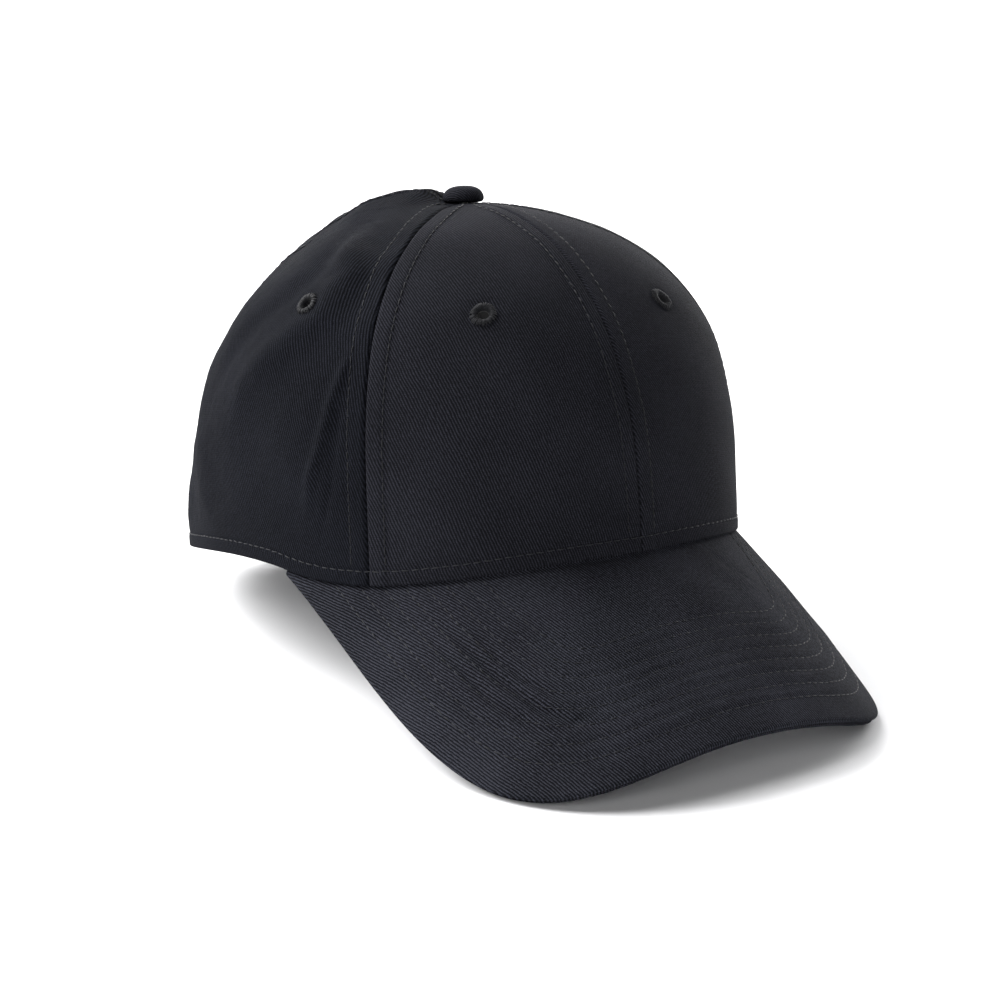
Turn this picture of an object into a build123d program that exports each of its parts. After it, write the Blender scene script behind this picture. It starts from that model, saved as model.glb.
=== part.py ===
from build123d import *
from functools import lru_cache
from math import atan2, cos, degrees, hypot, pi, radians, sin, tan
import os
import numpy as np

# Six-panel baseball cap with a curved visor and a metal-clasp strap at the back, resting on a table.
# Millimetres. +Z is up and z = 0 is the table. The visor points to -Y and the wearer's right is -X.
# Angles around the crown start at the front: 0 is the visor side, + goes to the wearer's left (+X).
# The crown is described level, then the whole cap leans back by RESTING_LEAN about its back hem.

RESTING_LEAN = 8.4           # degrees: the curved visor props the front of the cap up

# Crown: outline of the head opening, height of the top above the back hem
HALF_WIDTH = 85.0
FRONT_REACH = 99.3
BACK_REACH = 99.0
FRONT_SQUARENESS = 2.2       # superellipse exponents of the outline, front and back half
BACK_SQUARENESS = 2.1
CROWN_HEIGHT = 122.6
TOP_Y = -11.5                # the button sits ahead of the middle
RISE_POWER = (0.843, -0.397, 0.334)    # how fast the wall climbs: mean, front-to-back, front+back terms
INSET_POWER = (0.883, 0.273, -0.204)   # how fast the wall leans in, the same three terms
FRONT_SEAM = 54.2            # angle of the seams between front and side panels
BACK_SEAM = 130.6            # angle of the seams between side and back panels
SEAM_GAP = 0.1
TOP_HOLE_RADIUS = 2.6

# Visor: a sheet bent across its width that slopes down towards its front edge
VISOR_ROOT_HEIGHT = 19.2
VISOR_SLOPE = 0.735
VISOR_SAG = 0.002            # extra droop per square millimetre forward
VISOR_BEND_RADIUS = 76.3
VISOR_BEND_POWER = 2.39
VISOR_END_ANGLE = 73.0       # crown angle where the visor's sides start
VISOR_LENGTH = 121.0         # from that point forward
VISOR_CORNER_POWERS = (3.1, 3.86)
VISOR_BULGE = 1.2
VISOR_GAP = 0.65             # hem above, and visor below, the line where they meet
HEM_EASE = 0.88              # makes the hem drop a little early behind the visor
HEM_START_SLOPE = 0.6

# Cloth and board thicknesses, and the depth of each layer below the crown's outer face
TWILL = 0.8
BUCKRAM = (0.85, 1.4)
FRONT_TAPE = (1.5, 1.95)
BACK_TAPE = (0.85, 1.2)
PAD = (2.1, 3.5)
SWEATBAND = 0.8
SWEATBAND_DEPTH_FRONT = 3.6
SWEATBAND_DEPTH_BACK = 7.2   # leaves room for the strap to slide between the panels and the sweatband
SWEATBAND_DEEPENS = (88.0, 108.0)      # crown angles between which its depth changes
SWEATBAND_HEIGHT = 30.0
SWEATBAND_END = 147.0
LABEL = (4.55, 4.75)
LABEL_PLACE = (56.0, 74.0, 5.0, 24.0)  # crown angles, then climbs from the hem
PAD_END_ANGLE = 50.0
PAD_MARGINS = (5.0, 2.0)     # above the hem, below the sweatband's top
SEAM_STRIP_END_ANGLE = 70.0
SEAM_STRIP_HEIGHT = 8.0
BAND_FOOT = 0.5              # the sweatband and the visor's seam strip start this far above the hem
BUCKRAM_MARGIN = 3.0         # above the hem
TOP_MARGIN = 4.0             # linings and tapes stop this far from the hole under the button
TAPE_HALF_WIDTH = 6.0
TAPE_CROWDING = 16.0         # tapes narrow over this last stretch of climb
TAPE_FOOT_FRONT = 9.0
TAPE_FOOT_BACK = 3.0
VISOR_THICKNESS = 3.65
VISOR_BOARD = (0.85, 2.8)
VISOR_SPLIT = (1.8, 1.85)    # top cover ends and under cover starts at these depths
VISOR_INNER_DEPTH = 0.9
BOARD_MARGIN = 2.2
BOARD_CLEARANCE = 0.25
BOARD_END_EASE = 0.01
COVER_REACH = 0.985          # shares of the visor's edge, from its middle, that covers and board take up
BOARD_REACH = 0.9
POCKET_EASE = 0.05           # room in the covers above and below the board

# Eyelets: (angle, climb from the hem) of the three on the wearer's left (1) and right (-1)
EYELETS = {
    1: ((25.2, 77.0), (74.0, 82.0), (155.0, 88.0)),
    -1: ((30.8, 77.5), (71.8, 82.0), (155.0, 88.0)),
}
EYELET_HOLE_RADIUS = 1.75
EYELET_SLEEVE_RADIUS = 2.2
EYELET_FLANGE_RADIUS = 4.0
EYELET_CLOTH_HOLE = 2.3
EYELET_SLEEVE = (-1.45, 0.3)           # heights above the crown's outer face
EYELET_FLANGE = (0.25, 0.75)

# Button on the top
BUTTON_RADIUS = 6.8
BUTTON_HEIGHT = 5.6
BUTTON_CLOTH = 0.7
BUTTON_METAL = 0.5
RIVET_RADIUS = 1.4
RIVET_FIT = 0.01
RIVET_HEAD = (2.24, 0.6)     # radius, thickness
RIVET_WASHER = (5.8, 0.7)
WASHER_HOLE_RADIUS = 0.8
WASHER_DROP = 0.6            # below the front seam tape
BUTTON_BASE = 0.1            # the button's underside above the crown's top
BUTTON_NECK_SHARE = 0.5      # of its radius, open underneath for the rivet

# Back opening and strap. The strap and buckle follow a circle about a level-frame axis at y = ARC_Y.
OPENING_HALF_WIDTH = 45.0
OPENING_STRAIGHT = 14.0      # height of the opening's upright sides
OPENING_ARCH = 34.0          # height of the arch above them
BINDING_WIDTH = 7.0
BINDING_SPREAD = 38.0        # degrees of crown, each side of straight back, that the binding is cut from
BINDING_CLIMB = 68.0         # and how far up
BINDING_TO_TAPE = 2.0
ARC_Y = 18.0
STRAP_RADIUS = 75.9          # inner face at mid height
STRAP_THICKNESS = 1.0
STRAP_LOW = 6.5
STRAP_HIGH = 24.0
STRAP_LEAN = 5.55            # degrees inward, as the crown wall leans there
STRAP_LEFT_END = 53.0        # arc angles from straight back, + to the wearer's left
STRAP_RIGHT_END = -53.0

# Clasp buckle
CLASP_CLEARANCE = 0.15
CLASP_METAL = 0.8
CLASP_INNER_HALF = 9.5       # half the space between the two cheeks
CLASP_CHEEK = 0.9
CLASP_CHEEK_RADIUS = 79.8
CLASP_LEFT = -10.0
CLASP_RIGHT = -28.0
PIN_ARC = -11.8
PIN_RADIUS = 0.75
PIN_RUNNING_CLEARANCE = 0.05
PIN_SEAT_CLEARANCE = 0.01
BARREL_RADIUS = 1.4
LEVER_HALF_HEIGHT = 9.1
LEVER_END = -24.1
LEVER_LIP = 1.2
LEVER_LIP_ARC = 0.6
BAR_ARC = (-25.8, -27.6)
BAR_THICKNESS = 1.0
LOOP_CLOTH = 0.5
LOOP_HALF_HEIGHT = 8.4
LOOP_EYE_ARC = (-24.7, -31.0)
LOOP_END = -46.0
LOOP_EASE = 0.05             # between the loop's cloth and the buckle's bar
LOOP_EYE_WALL = 0.1          # degrees of arc
PIN_END = 0.6                # the pin stands out of each cheek

STRAP_MIDDLE = (STRAP_LOW + STRAP_HIGH) / 2
STRAP_OUTER = STRAP_RADIUS + STRAP_THICKNESS
TABLE_SAMPLES = 400


def rested(x, y, z):
    """A point of the level cap, after the cap leans back to rest on the table."""
    lean = radians(RESTING_LEAN)
    ahead = y - BACK_REACH
    return (x, BACK_REACH + ahead * cos(lean) + z * sin(lean), z * cos(lean) - ahead * sin(lean))


AT_REST = Pos(0, BACK_REACH, 0) * Rot(X=-RESTING_LEAN) * Pos(0, -BACK_REACH, 0)


# ---------------------------------------------------------------- the crown's surface

def hem_outline(angle):
    """Level-frame x, y of the crown's lower outline at an angle in radians."""
    s, c = sin(angle), cos(angle)
    power = FRONT_SQUARENESS if c > 0 else BACK_SQUARENESS
    reach = FRONT_REACH if c > 0 else BACK_REACH
    radius = (abs(s) ** power + abs(c) ** power) ** (-1 / power)
    return HALF_WIDTH * s * radius, -reach * c * radius


def visor_sheet(x, y):
    """Level-frame height of the bent sheet on which the visor's top and the front hem lie."""
    ahead = -y - FRONT_REACH
    bend = VISOR_BEND_RADIUS / 2 * abs(x / VISOR_BEND_RADIUS) ** VISOR_BEND_POWER
    return VISOR_ROOT_HEIGHT - VISOR_SLOPE * ahead - VISOR_SAG * ahead ** 2 - bend


def hem_height(angle):
    """Follows the visor at the front, then eases down to the table at the back."""
    turn = abs(atan2(sin(angle), cos(angle)))
    end = radians(VISOR_END_ANGLE)
    if turn <= end:
        return visor_sheet(*hem_outline(turn)) + VISOR_GAP
    step = 1e-3
    start = visor_sheet(*hem_outline(end))
    slope = (start - visor_sheet(*hem_outline(end - step))) / step
    t = ((turn - end) / (pi - end)) ** HEM_EASE
    settle = 2 * t ** 3 - 3 * t ** 2 + 1
    launch = t ** 3 - 2 * t ** 2 + t
    return (start + VISOR_GAP) * settle + slope * (pi - end) * HEM_START_SLOPE * launch


def three_term(terms, angle):
    return terms[0] + terms[1] * cos(angle) + terms[2] * cos(2 * angle)


@lru_cache(maxsize=None)
def wall(angle):
    """Distances climbed from the hem, and level-frame points, up the crown at one angle."""
    rise, inset = three_term(RISE_POWER, angle), three_term(INSET_POWER, angle)
    hem_x, hem_y = hem_outline(angle)
    hem_z = hem_height(angle)
    innermost = TOP_HOLE_RADIUS / hypot(hem_x, hem_y - TOP_Y)
    by_inset = np.arccos(np.linspace(innermost, 1, TABLE_SAMPLES) ** (1 / inset))
    by_rise = np.arcsin(np.linspace(0, 1, TABLE_SAMPLES) ** (1 / rise))
    turn = np.unique(np.concatenate([by_inset, by_rise[by_rise < by_inset.max()]]))
    keep = np.cos(turn) ** inset
    points = np.stack([
        keep * hem_x,
        keep * hem_y + (1 - keep) * TOP_Y,
        hem_z + (CROWN_HEIGHT - hem_z) * np.sin(turn) ** rise,
    ], axis=1)
    climbed = np.concatenate([[0], np.cumsum(np.linalg.norm(np.diff(points, axis=0), axis=1))])
    return climbed, points


def full_climb(angle):
    """Length of cloth from the hem to the hole under the button."""
    return wall(round(angle, 9))[0][-1]


def crown_skin(angle, climb):
    climbed, points = wall(round(angle, 9))
    return np.array([np.interp(climb, climbed, points[:, i]) for i in range(3)])


def crown_normal(angle, climb):
    """Outward normal of the level crown."""
    turn, rise = 0.02, 1.0
    climb = min(max(climb, rise), full_climb(angle) - rise)
    across = crown_skin(angle + turn, climb) - crown_skin(angle - turn, climb)
    up = crown_skin(angle, climb + rise) - crown_skin(angle, climb - rise)
    normal = np.cross(across, up)
    return normal / np.linalg.norm(normal)


def in_crown(angle, climb, depth):
    """Resting point at a depth below the crown's outer face."""
    return rested(*(crown_skin(angle, climb) - depth * crown_normal(angle, climb)))


def seam_inset(angle, climb, distance):
    """The angle that a sideways distance takes up at that height on the crown."""
    x, y, _ = crown_skin(angle, climb)
    return distance / hypot(x, y - TOP_Y)


# ---------------------------------------------------------------- cloth sheets

def cloth(outer_points, inner_points):
    """A closed sheet between two grids of points, with ruled strips round its four edges."""
    faces = []
    for points in (outer_points, inner_points):
        grid = [[Vector(*p) for p in row] for row in points]
        faces.append(Face.make_surface_from_array_of_points(grid, tol=0.01))
    outer, inner = faces
    for edge in outer.edges():
        middle = edge.position_at(0.5)
        partner = min(inner.edges(), key=lambda other: (other.position_at(0.5) - middle).length)
        faces.append(Face.make_surface_from_curves(edge, partner))
    return Solid(Shell(faces)).fix()


def crown_patch(first, last, low, high, depth, thickness, rows=15, columns=9):
    """A crown layer between two edge functions angle(climb share) and two climb functions climb(angle)."""
    grids = []
    for extra in (0, thickness):
        grid = []
        for i in range(columns):
            row = []
            for j in range(rows):
                share = j / (rows - 1)
                start, stop = first(share), last(share)
                angle = start + (stop - start) * i / (columns - 1)
                climb = low(angle) + (high(angle) - low(angle)) * share
                row.append(in_crown(angle, climb, depth(angle) + extra))
            grid.append(row)
        grids.append(grid)
    return cloth(*grids)


def even(depth):
    """A layer's depth that is the same all over."""
    return lambda angle: depth


def between_seams(first, last, low, high, depth, thickness, gap=SEAM_GAP, **grid):
    """A layer between two seam angles in degrees, short of each seam by half the gap."""
    start, stop = radians(first), radians(last)

    def edge(angle, side):
        def at(share):
            climb = low(angle) + (high(angle) - low(angle)) * share
            return angle + side * seam_inset(angle, climb, gap / 2)
        return at

    return crown_patch(edge(start, 1), edge(stop, -1), low, high, depth, thickness, **grid)


def seam_tape(seam, low, layer):
    """A narrow tape centred on a seam, narrowing where the seams crowd together at the top."""
    angle = radians(seam)
    top = full_climb(angle) - TOP_MARGIN

    def edge(side):
        def at(share):
            climb = low + (top - low) * share
            half = TAPE_HALF_WIDTH * min(1, (full_climb(angle) - climb + TOP_HOLE_RADIUS) / TAPE_CROWDING)
            return angle + side * seam_inset(angle, climb, half)
        return at

    return crown_patch(edge(-1), edge(1), even(low), even(top), even(layer[0]), layer[1] - layer[0],
                       columns=4)


def eyelet_plane(angle, climb):
    """Plane on the crown's outer face at an eyelet, with its normal pointing out."""
    centre = rested(*crown_skin(angle, climb))
    nx, ny, nz = crown_normal(angle, climb)
    lean = radians(RESTING_LEAN)
    normal = (nx, ny * cos(lean) + nz * sin(lean), nz * cos(lean) - ny * sin(lean))
    return Plane(origin=centre, z_dir=normal)


def tube(plane, outer, inner, low, high):
    """A ring standing on a plane, from one height to another above it."""
    ring = Circle(outer) - Circle(inner) if inner else Circle(outer)
    return plane * extrude(Pos(0, 0, low) * ring, high - low)


# ---------------------------------------------------------------- the crown's parts

def eyelet_punch(side, index):
    angle, climb = EYELETS[side][index]
    return tube(eyelet_plane(radians(side * angle), climb), EYELET_CLOTH_HOLE, 0, -4, 4)


def opening_prism(grow):
    """The half-moon at the back, as a prism through the back wall, grown outward by a distance."""
    half = OPENING_HALF_WIDTH + grow
    arch = Pos(0, OPENING_STRAIGHT) * Ellipse(half, OPENING_ARCH + grow)
    arch += Pos(0, -OPENING_ARCH / 2 + OPENING_STRAIGHT) * Rectangle(2 * half, OPENING_ARCH)
    return AT_REST * extrude(Plane.XZ * arch, -2 * BACK_REACH)


def panels(side, name):
    parts = {}
    edges = (("front_panel_", 0.0, FRONT_SEAM), ("side_panel_", FRONT_SEAM, BACK_SEAM),
             ("back_panel_", BACK_SEAM, 180.0))
    for index, (kind, first, last) in enumerate(edges):
        panel = between_seams(first, last, even(0), full_climb, even(0), TWILL)
        panel = panel if side > 0 else mirror(panel, about=Plane.YZ)
        parts[kind + name] = panel - eyelet_punch(side, index)
    parts["back_panel_" + name] -= opening_prism(0)
    return parts


def linings(side, name):
    buckram = between_seams(0.0, FRONT_SEAM, even(BUCKRAM_MARGIN), lambda a: full_climb(a) - TOP_MARGIN,
                            even(BUCKRAM[0]), BUCKRAM[1] - BUCKRAM[0])
    buckram = buckram if side > 0 else mirror(buckram, about=Plane.YZ)
    return {
        "front_buckram_" + name: buckram - eyelet_punch(side, 0),
        "seam_tape_front_" + name: seam_tape(side * FRONT_SEAM, TAPE_FOOT_FRONT, FRONT_TAPE),
        "seam_tape_back_" + name: seam_tape(side * BACK_SEAM, TAPE_FOOT_BACK, BACK_TAPE),
    }


def middle_tapes():
    above_opening = OPENING_STRAIGHT + OPENING_ARCH + BINDING_WIDTH + BINDING_TO_TAPE
    return {
        "seam_tape_front": seam_tape(0.0, TAPE_FOOT_FRONT, FRONT_TAPE),
        "seam_tape_back": seam_tape(180.0, above_opening, BACK_TAPE),
    }


def opening_binding():
    """The tape that finishes the edge of the half-moon, on the inside."""
    layer = between_seams(180 - BINDING_SPREAD, 180 + BINDING_SPREAD, even(0), even(BINDING_CLIMB),
                          even(BACK_TAPE[0]), BACK_TAPE[1] - BACK_TAPE[0], columns=13)
    return {"opening_binding": (layer & opening_prism(BINDING_WIDTH)) - opening_prism(0)}


def sweatband_depth(angle):
    """Deeper at the back, where the strap passes between the panels and the sweatband."""
    turn = degrees(abs(atan2(sin(angle), cos(angle))))
    first, last = SWEATBAND_DEEPENS
    t = min(max((turn - first) / (last - first), 0), 1)
    return SWEATBAND_DEPTH_FRONT + (SWEATBAND_DEPTH_BACK - SWEATBAND_DEPTH_FRONT) * t * t * (3 - 2 * t)


def inner_band():
    band = between_seams(-SWEATBAND_END, SWEATBAND_END, even(BAND_FOOT), even(SWEATBAND_HEIGHT),
                         sweatband_depth, SWEATBAND, rows=7, columns=61)
    pad = between_seams(-PAD_END_ANGLE, PAD_END_ANGLE, even(PAD_MARGINS[0]),
                        even(SWEATBAND_HEIGHT - PAD_MARGINS[1]), even(PAD[0]), PAD[1] - PAD[0],
                        rows=6, columns=17)
    seam_strip = between_seams(-SEAM_STRIP_END_ANGLE, SEAM_STRIP_END_ANGLE, even(BAND_FOOT),
                               even(SEAM_STRIP_HEIGHT), even(FRONT_TAPE[0]),
                               FRONT_TAPE[1] - FRONT_TAPE[0], rows=4, columns=25)
    first, last, low, high = LABEL_PLACE
    label = between_seams(first, last, even(low), even(high), even(LABEL[0]), LABEL[1] - LABEL[0], rows=5)
    return {"sweatband": band, "forehead_pad": pad, "visor_seam_strip": seam_strip, "care_label": label}


def eyelets():
    rings = []
    for side in (-1, 1):
        for angle, climb in EYELETS[side]:
            plane = eyelet_plane(radians(side * angle), climb)
            sleeve = tube(plane, EYELET_SLEEVE_RADIUS, EYELET_HOLE_RADIUS, *EYELET_SLEEVE)
            rings.append(sleeve + tube(plane, EYELET_FLANGE_RADIUS, EYELET_HOLE_RADIUS, *EYELET_FLANGE))
    return {"eyelets": Compound(children=rings)}


# ---------------------------------------------------------------- button

def dome(radius, height, base):
    """A flattened button dome, standing on a base height, with a short upright side."""
    side = base + height * 0.225
    with BuildSketch(Plane.XZ) as section:
        with BuildLine():
            Polyline((0, base), (radius, base), (radius, side))
            Spline((radius, side), (radius * 0.72, base + height * 0.86), (0, base + height),
                   tangents=((0, 1), (-1, 0)))
            Line((0, base + height), (0, base))
        make_face()
    return revolve(section.sketch, Axis.Z)


def disc(radius, low, thickness):
    return Pos(0, 0, low) * extrude(Circle(radius), thickness)


def button():
    shell_base = BUTTON_BASE + BUTTON_CLOTH
    lining = BUTTON_CLOTH + BUTTON_METAL
    inner = dome(BUTTON_RADIUS - lining, BUTTON_HEIGHT - 2 * lining, BUTTON_BASE + lining)
    metal = dome(BUTTON_RADIUS - BUTTON_CLOTH, BUTTON_HEIGHT - 2 * BUTTON_CLOTH, shell_base)
    neck = disc(BUTTON_RADIUS * BUTTON_NECK_SHARE, BUTTON_BASE, lining)
    cover = dome(BUTTON_RADIUS, BUTTON_HEIGHT, BUTTON_BASE) - metal - neck
    shell = metal - inner - disc(RIVET_RADIUS + RIVET_FIT, shell_base, BUTTON_METAL)
    washer_radius, washer_thickness = RIVET_WASHER
    washer_top = -(FRONT_TAPE[1] + WASHER_DROP)
    shank_top = shell_base + BUTTON_METAL
    rivet = disc(RIVET_RADIUS, washer_top, shank_top - washer_top)
    rivet += disc(RIVET_HEAD[0], shank_top, RIVET_HEAD[1])
    washer = disc(washer_radius, washer_top - washer_thickness, washer_thickness)
    washer -= disc(WASHER_HOLE_RADIUS, washer_top - washer_thickness, washer_thickness)
    place = AT_REST * Pos(0, TOP_Y, CROWN_HEIGHT)
    return {
        "button_cover": place * cover,
        "button_shell": place * shell,
        "button_rivet": place * rivet,
        "button_washer": place * washer,
    }


# ---------------------------------------------------------------- visor

@lru_cache(maxsize=None)
def visor_edge_table():
    """Evenly measured level-frame points round the visor's edge, from the right end to the left end."""
    end = radians(VISOR_END_ANGLE)
    side_x, side_y = hem_outline(end)
    swing = np.sin(np.linspace(-1, 1, 4001) * pi / 2) * pi / 2
    across, forward = np.sin(swing), np.cos(swing)
    p, q = VISOR_CORNER_POWERS
    x = side_x * np.sign(across) * np.abs(across) ** (2 / p) + VISOR_BULGE * np.sin(2 * swing)
    y = side_y - VISOR_LENGTH * np.abs(forward) ** (2 / q)
    measured = np.concatenate([[0], np.cumsum(np.hypot(np.diff(x), np.diff(y)))])
    return measured, x, y


def visor_edge(share):
    """Point and inward direction on the visor's edge, for a share of -1 (right end) to 1 (left end)."""
    measured, x, y = visor_edge_table()
    total = measured[-1]
    at = (share + 1) / 2 * total
    point = np.array([np.interp(at, measured, x), np.interp(at, measured, y)])
    step = 1.5
    ahead = np.array([np.interp(min(at + step, total), measured, v) for v in (x, y)])
    behind = np.array([np.interp(max(at - step, 0), measured, v) for v in (x, y)])
    along = (ahead - behind) / np.linalg.norm(ahead - behind)
    return point, np.array([-along[1], along[0]])


def visor_root(share, depth):
    """Point on the visor's inner line, a depth inside the crown's outline."""
    angle = share * radians(VISOR_END_ANGLE)
    step = 1e-3
    point = np.array(hem_outline(angle))
    along = np.array(hem_outline(angle + step)) - np.array(hem_outline(angle - step))
    out = np.array([along[1], -along[0]]) / np.linalg.norm(along)
    return point - depth * out


def visor_layer(reach, margin, low, high, rows=10, columns=41):
    """A layer of the visor between two depths, kept a margin inside its outline."""
    grids = []
    for depth in (low, high):
        grid = []
        for i in range(columns):
            share = reach * (2 * i / (columns - 1) - 1)
            edge, inward = visor_edge(share)
            outer = edge + margin * inward
            inner = visor_root(share, VISOR_INNER_DEPTH - margin)
            shares = [j / (rows - 1) for j in range(rows)]
            grid.append([visor_point(*(inner + (outer - inner) * t), depth) for t in shares])
        grids.append(grid)
    return cloth(*grids)


def visor_point(x, y, depth):
    """Resting point at a depth below the visor's top face, above level-frame x, y."""
    step = 0.5
    dx = (visor_sheet(x + step, y) - visor_sheet(x - step, y)) / (2 * step)
    dy = (visor_sheet(x, y + step) - visor_sheet(x, y - step)) / (2 * step)
    down = np.array([dx, dy, -1]) / np.sqrt(dx * dx + dy * dy + 1)
    base = np.array([x, y, visor_sheet(x, y) - VISOR_GAP])
    return rested(*(base + depth * down))


def visor():
    pocket = visor_layer(BOARD_REACH + BOARD_END_EASE, BOARD_MARGIN - BOARD_CLEARANCE,
                         VISOR_BOARD[0] - POCKET_EASE, VISOR_BOARD[1] + POCKET_EASE)
    top = visor_layer(COVER_REACH, 0, 0, VISOR_SPLIT[0])
    under = visor_layer(COVER_REACH, 0, VISOR_SPLIT[1], VISOR_THICKNESS)
    board = visor_layer(BOARD_REACH, BOARD_MARGIN, *VISOR_BOARD)
    return {"visor_cover_top": top - pocket, "visor_cover_under": under - pocket, "visor_board": board}


# ---------------------------------------------------------------- strap and clasp

ARC_AXIS = Axis((0, ARC_Y, 0), (0, 0, 1))


def arc_band(inner, outer, half_height, start, stop, middle=STRAP_MIDDLE):
    """A leaning band about the strap's axis. Radii are at mid height, arc angles run from straight back."""
    slope = tan(radians(STRAP_LEAN))
    corners = []
    for radius, rise in ((inner, -1), (outer, -1), (outer, 1), (inner, 1)):
        height = rise * half_height
        corners.append((radius - height * slope, middle + height))
    low, high = min(start, stop), max(start, stop)
    section = make_face(Polyline(*[(0, ARC_Y + r, z) for r, z in corners], close=True))
    turned = Pos(0, ARC_Y, 0) * Rot(Z=-high) * Pos(0, -ARC_Y, 0) * section
    return revolve(turned, ARC_AXIS, high - low)


def on_arc(arc, radius, height):
    """Level-frame location at an arc angle and mid-height radius, z along the leaning wall."""
    slope = tan(radians(STRAP_LEAN))
    lowered = radius - (height - STRAP_MIDDLE) * slope
    place = Pos(0, ARC_Y, 0) * Rot(Z=-arc) * Pos(0, lowered, height)
    return place * Rot(X=STRAP_LEAN)


def rod(arc, radius, rod_radius, half_length):
    return on_arc(arc, radius, STRAP_MIDDLE) * extrude(
        Pos(0, 0, -half_length) * Circle(rod_radius), 2 * half_length)


def closure():
    half = (STRAP_HIGH - STRAP_LOW) / 2
    strap = arc_band(STRAP_RADIUS, STRAP_OUTER, half, STRAP_LEFT_END, STRAP_RIGHT_END)

    base_outer = STRAP_RADIUS - CLASP_CLEARANCE
    base_inner = base_outer - CLASP_METAL
    full_half = CLASP_INNER_HALF + CLASP_CHEEK
    frame = arc_band(base_inner, base_outer, full_half, CLASP_LEFT, CLASP_RIGHT)
    for side in (-1, 1):
        frame += arc_band(base_inner, CLASP_CHEEK_RADIUS, CLASP_CHEEK / 2, CLASP_LEFT, CLASP_RIGHT,
                          STRAP_MIDDLE + side * (CLASP_INNER_HALF + CLASP_CHEEK / 2))
    bar_inner = STRAP_OUTER + CLASP_CLEARANCE + LOOP_CLOTH + LOOP_EASE
    bar_outer = bar_inner + BAR_THICKNESS
    frame += arc_band(bar_inner, bar_outer, full_half, *BAR_ARC)
    pin_centre = STRAP_OUTER + CLASP_CLEARANCE + BARREL_RADIUS
    bore_half = full_half + 2 * PIN_END
    pin = rod(PIN_ARC, pin_centre, PIN_RADIUS, full_half + PIN_END)
    frame -= rod(PIN_ARC, pin_centre, PIN_RADIUS + PIN_SEAT_CLEARANCE, bore_half)

    plate_inner = STRAP_OUTER + CLASP_CLEARANCE
    lever = arc_band(plate_inner, plate_inner + CLASP_METAL, LEVER_HALF_HEIGHT, PIN_ARC, LEVER_END)
    lever += arc_band(plate_inner, plate_inner + CLASP_METAL + LEVER_LIP, LEVER_HALF_HEIGHT,
                      LEVER_END + LEVER_LIP_ARC, LEVER_END)
    lever += rod(PIN_ARC, pin_centre, BARREL_RADIUS, LEVER_HALF_HEIGHT)
    lever -= rod(PIN_ARC, pin_centre, PIN_RADIUS + PIN_RUNNING_CLEARANCE, bore_half)

    loop_inner = plate_inner
    loop = arc_band(loop_inner, bar_outer + LOOP_EASE + LOOP_CLOTH, LOOP_HALF_HEIGHT, *LOOP_EYE_ARC)
    loop -= arc_band(bar_inner - LOOP_EASE, bar_outer + LOOP_EASE, full_half,
                     BAR_ARC[0] + LOOP_EYE_WALL, BAR_ARC[1] - LOOP_EYE_WALL)
    loop += arc_band(loop_inner, loop_inner + 2 * LOOP_CLOTH, LOOP_HALF_HEIGHT, LOOP_EYE_ARC[1], LOOP_END)
    parts = {"strap": strap, "buckle_frame": frame, "buckle_pin": pin, "clasp_lever": lever,
             "buckle_loop": loop}
    return {name: AT_REST * part for name, part in parts.items()}


# ---------------------------------------------------------------- write the parts

def build():
    parts = {}
    for side, name in ((-1, "right"), (1, "left")):
        parts.update(panels(side, name))
        parts.update(linings(side, name))
    for group in (middle_tapes, opening_binding, inner_band, eyelets, button, visor, closure):
        parts.update(group())
    return parts


os.makedirs("parts", exist_ok=True)
for node, part in build().items():
    export_step(part, f"parts/{node}.step")
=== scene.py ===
import bpy
import math
import numpy as np
from mathutils import Matrix, Vector


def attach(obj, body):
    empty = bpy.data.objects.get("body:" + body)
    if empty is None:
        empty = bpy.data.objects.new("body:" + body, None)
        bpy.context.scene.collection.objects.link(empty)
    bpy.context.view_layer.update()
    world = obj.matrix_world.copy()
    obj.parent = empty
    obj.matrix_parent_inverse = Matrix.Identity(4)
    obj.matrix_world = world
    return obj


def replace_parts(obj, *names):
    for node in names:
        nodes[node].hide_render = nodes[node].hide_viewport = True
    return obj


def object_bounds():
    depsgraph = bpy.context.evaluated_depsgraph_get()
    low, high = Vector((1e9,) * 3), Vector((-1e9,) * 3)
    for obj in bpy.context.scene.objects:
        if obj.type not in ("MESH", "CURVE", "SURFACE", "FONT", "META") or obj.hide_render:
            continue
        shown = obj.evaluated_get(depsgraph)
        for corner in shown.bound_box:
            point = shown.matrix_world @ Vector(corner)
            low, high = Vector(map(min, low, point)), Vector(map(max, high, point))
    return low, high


# Six-panel baseball cap: cloth, stitching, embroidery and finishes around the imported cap.
# The helpers below work in millimetres in the row frame: +Z up, visor to -Y, wearer's right at -X.
# Angles round the crown start at the visor and grow towards the wearer's left. "Climb" is the distance
# up the cloth from the hem, and "rise" is a height above the crown's plain outer face.

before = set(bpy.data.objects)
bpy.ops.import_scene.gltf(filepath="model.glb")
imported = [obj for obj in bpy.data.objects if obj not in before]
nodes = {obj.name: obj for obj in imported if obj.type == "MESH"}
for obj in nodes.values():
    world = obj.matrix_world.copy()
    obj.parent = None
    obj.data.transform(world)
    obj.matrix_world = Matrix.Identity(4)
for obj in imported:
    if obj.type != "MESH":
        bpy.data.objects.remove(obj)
cad_low, cad_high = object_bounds()
MM = 0.001

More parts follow.
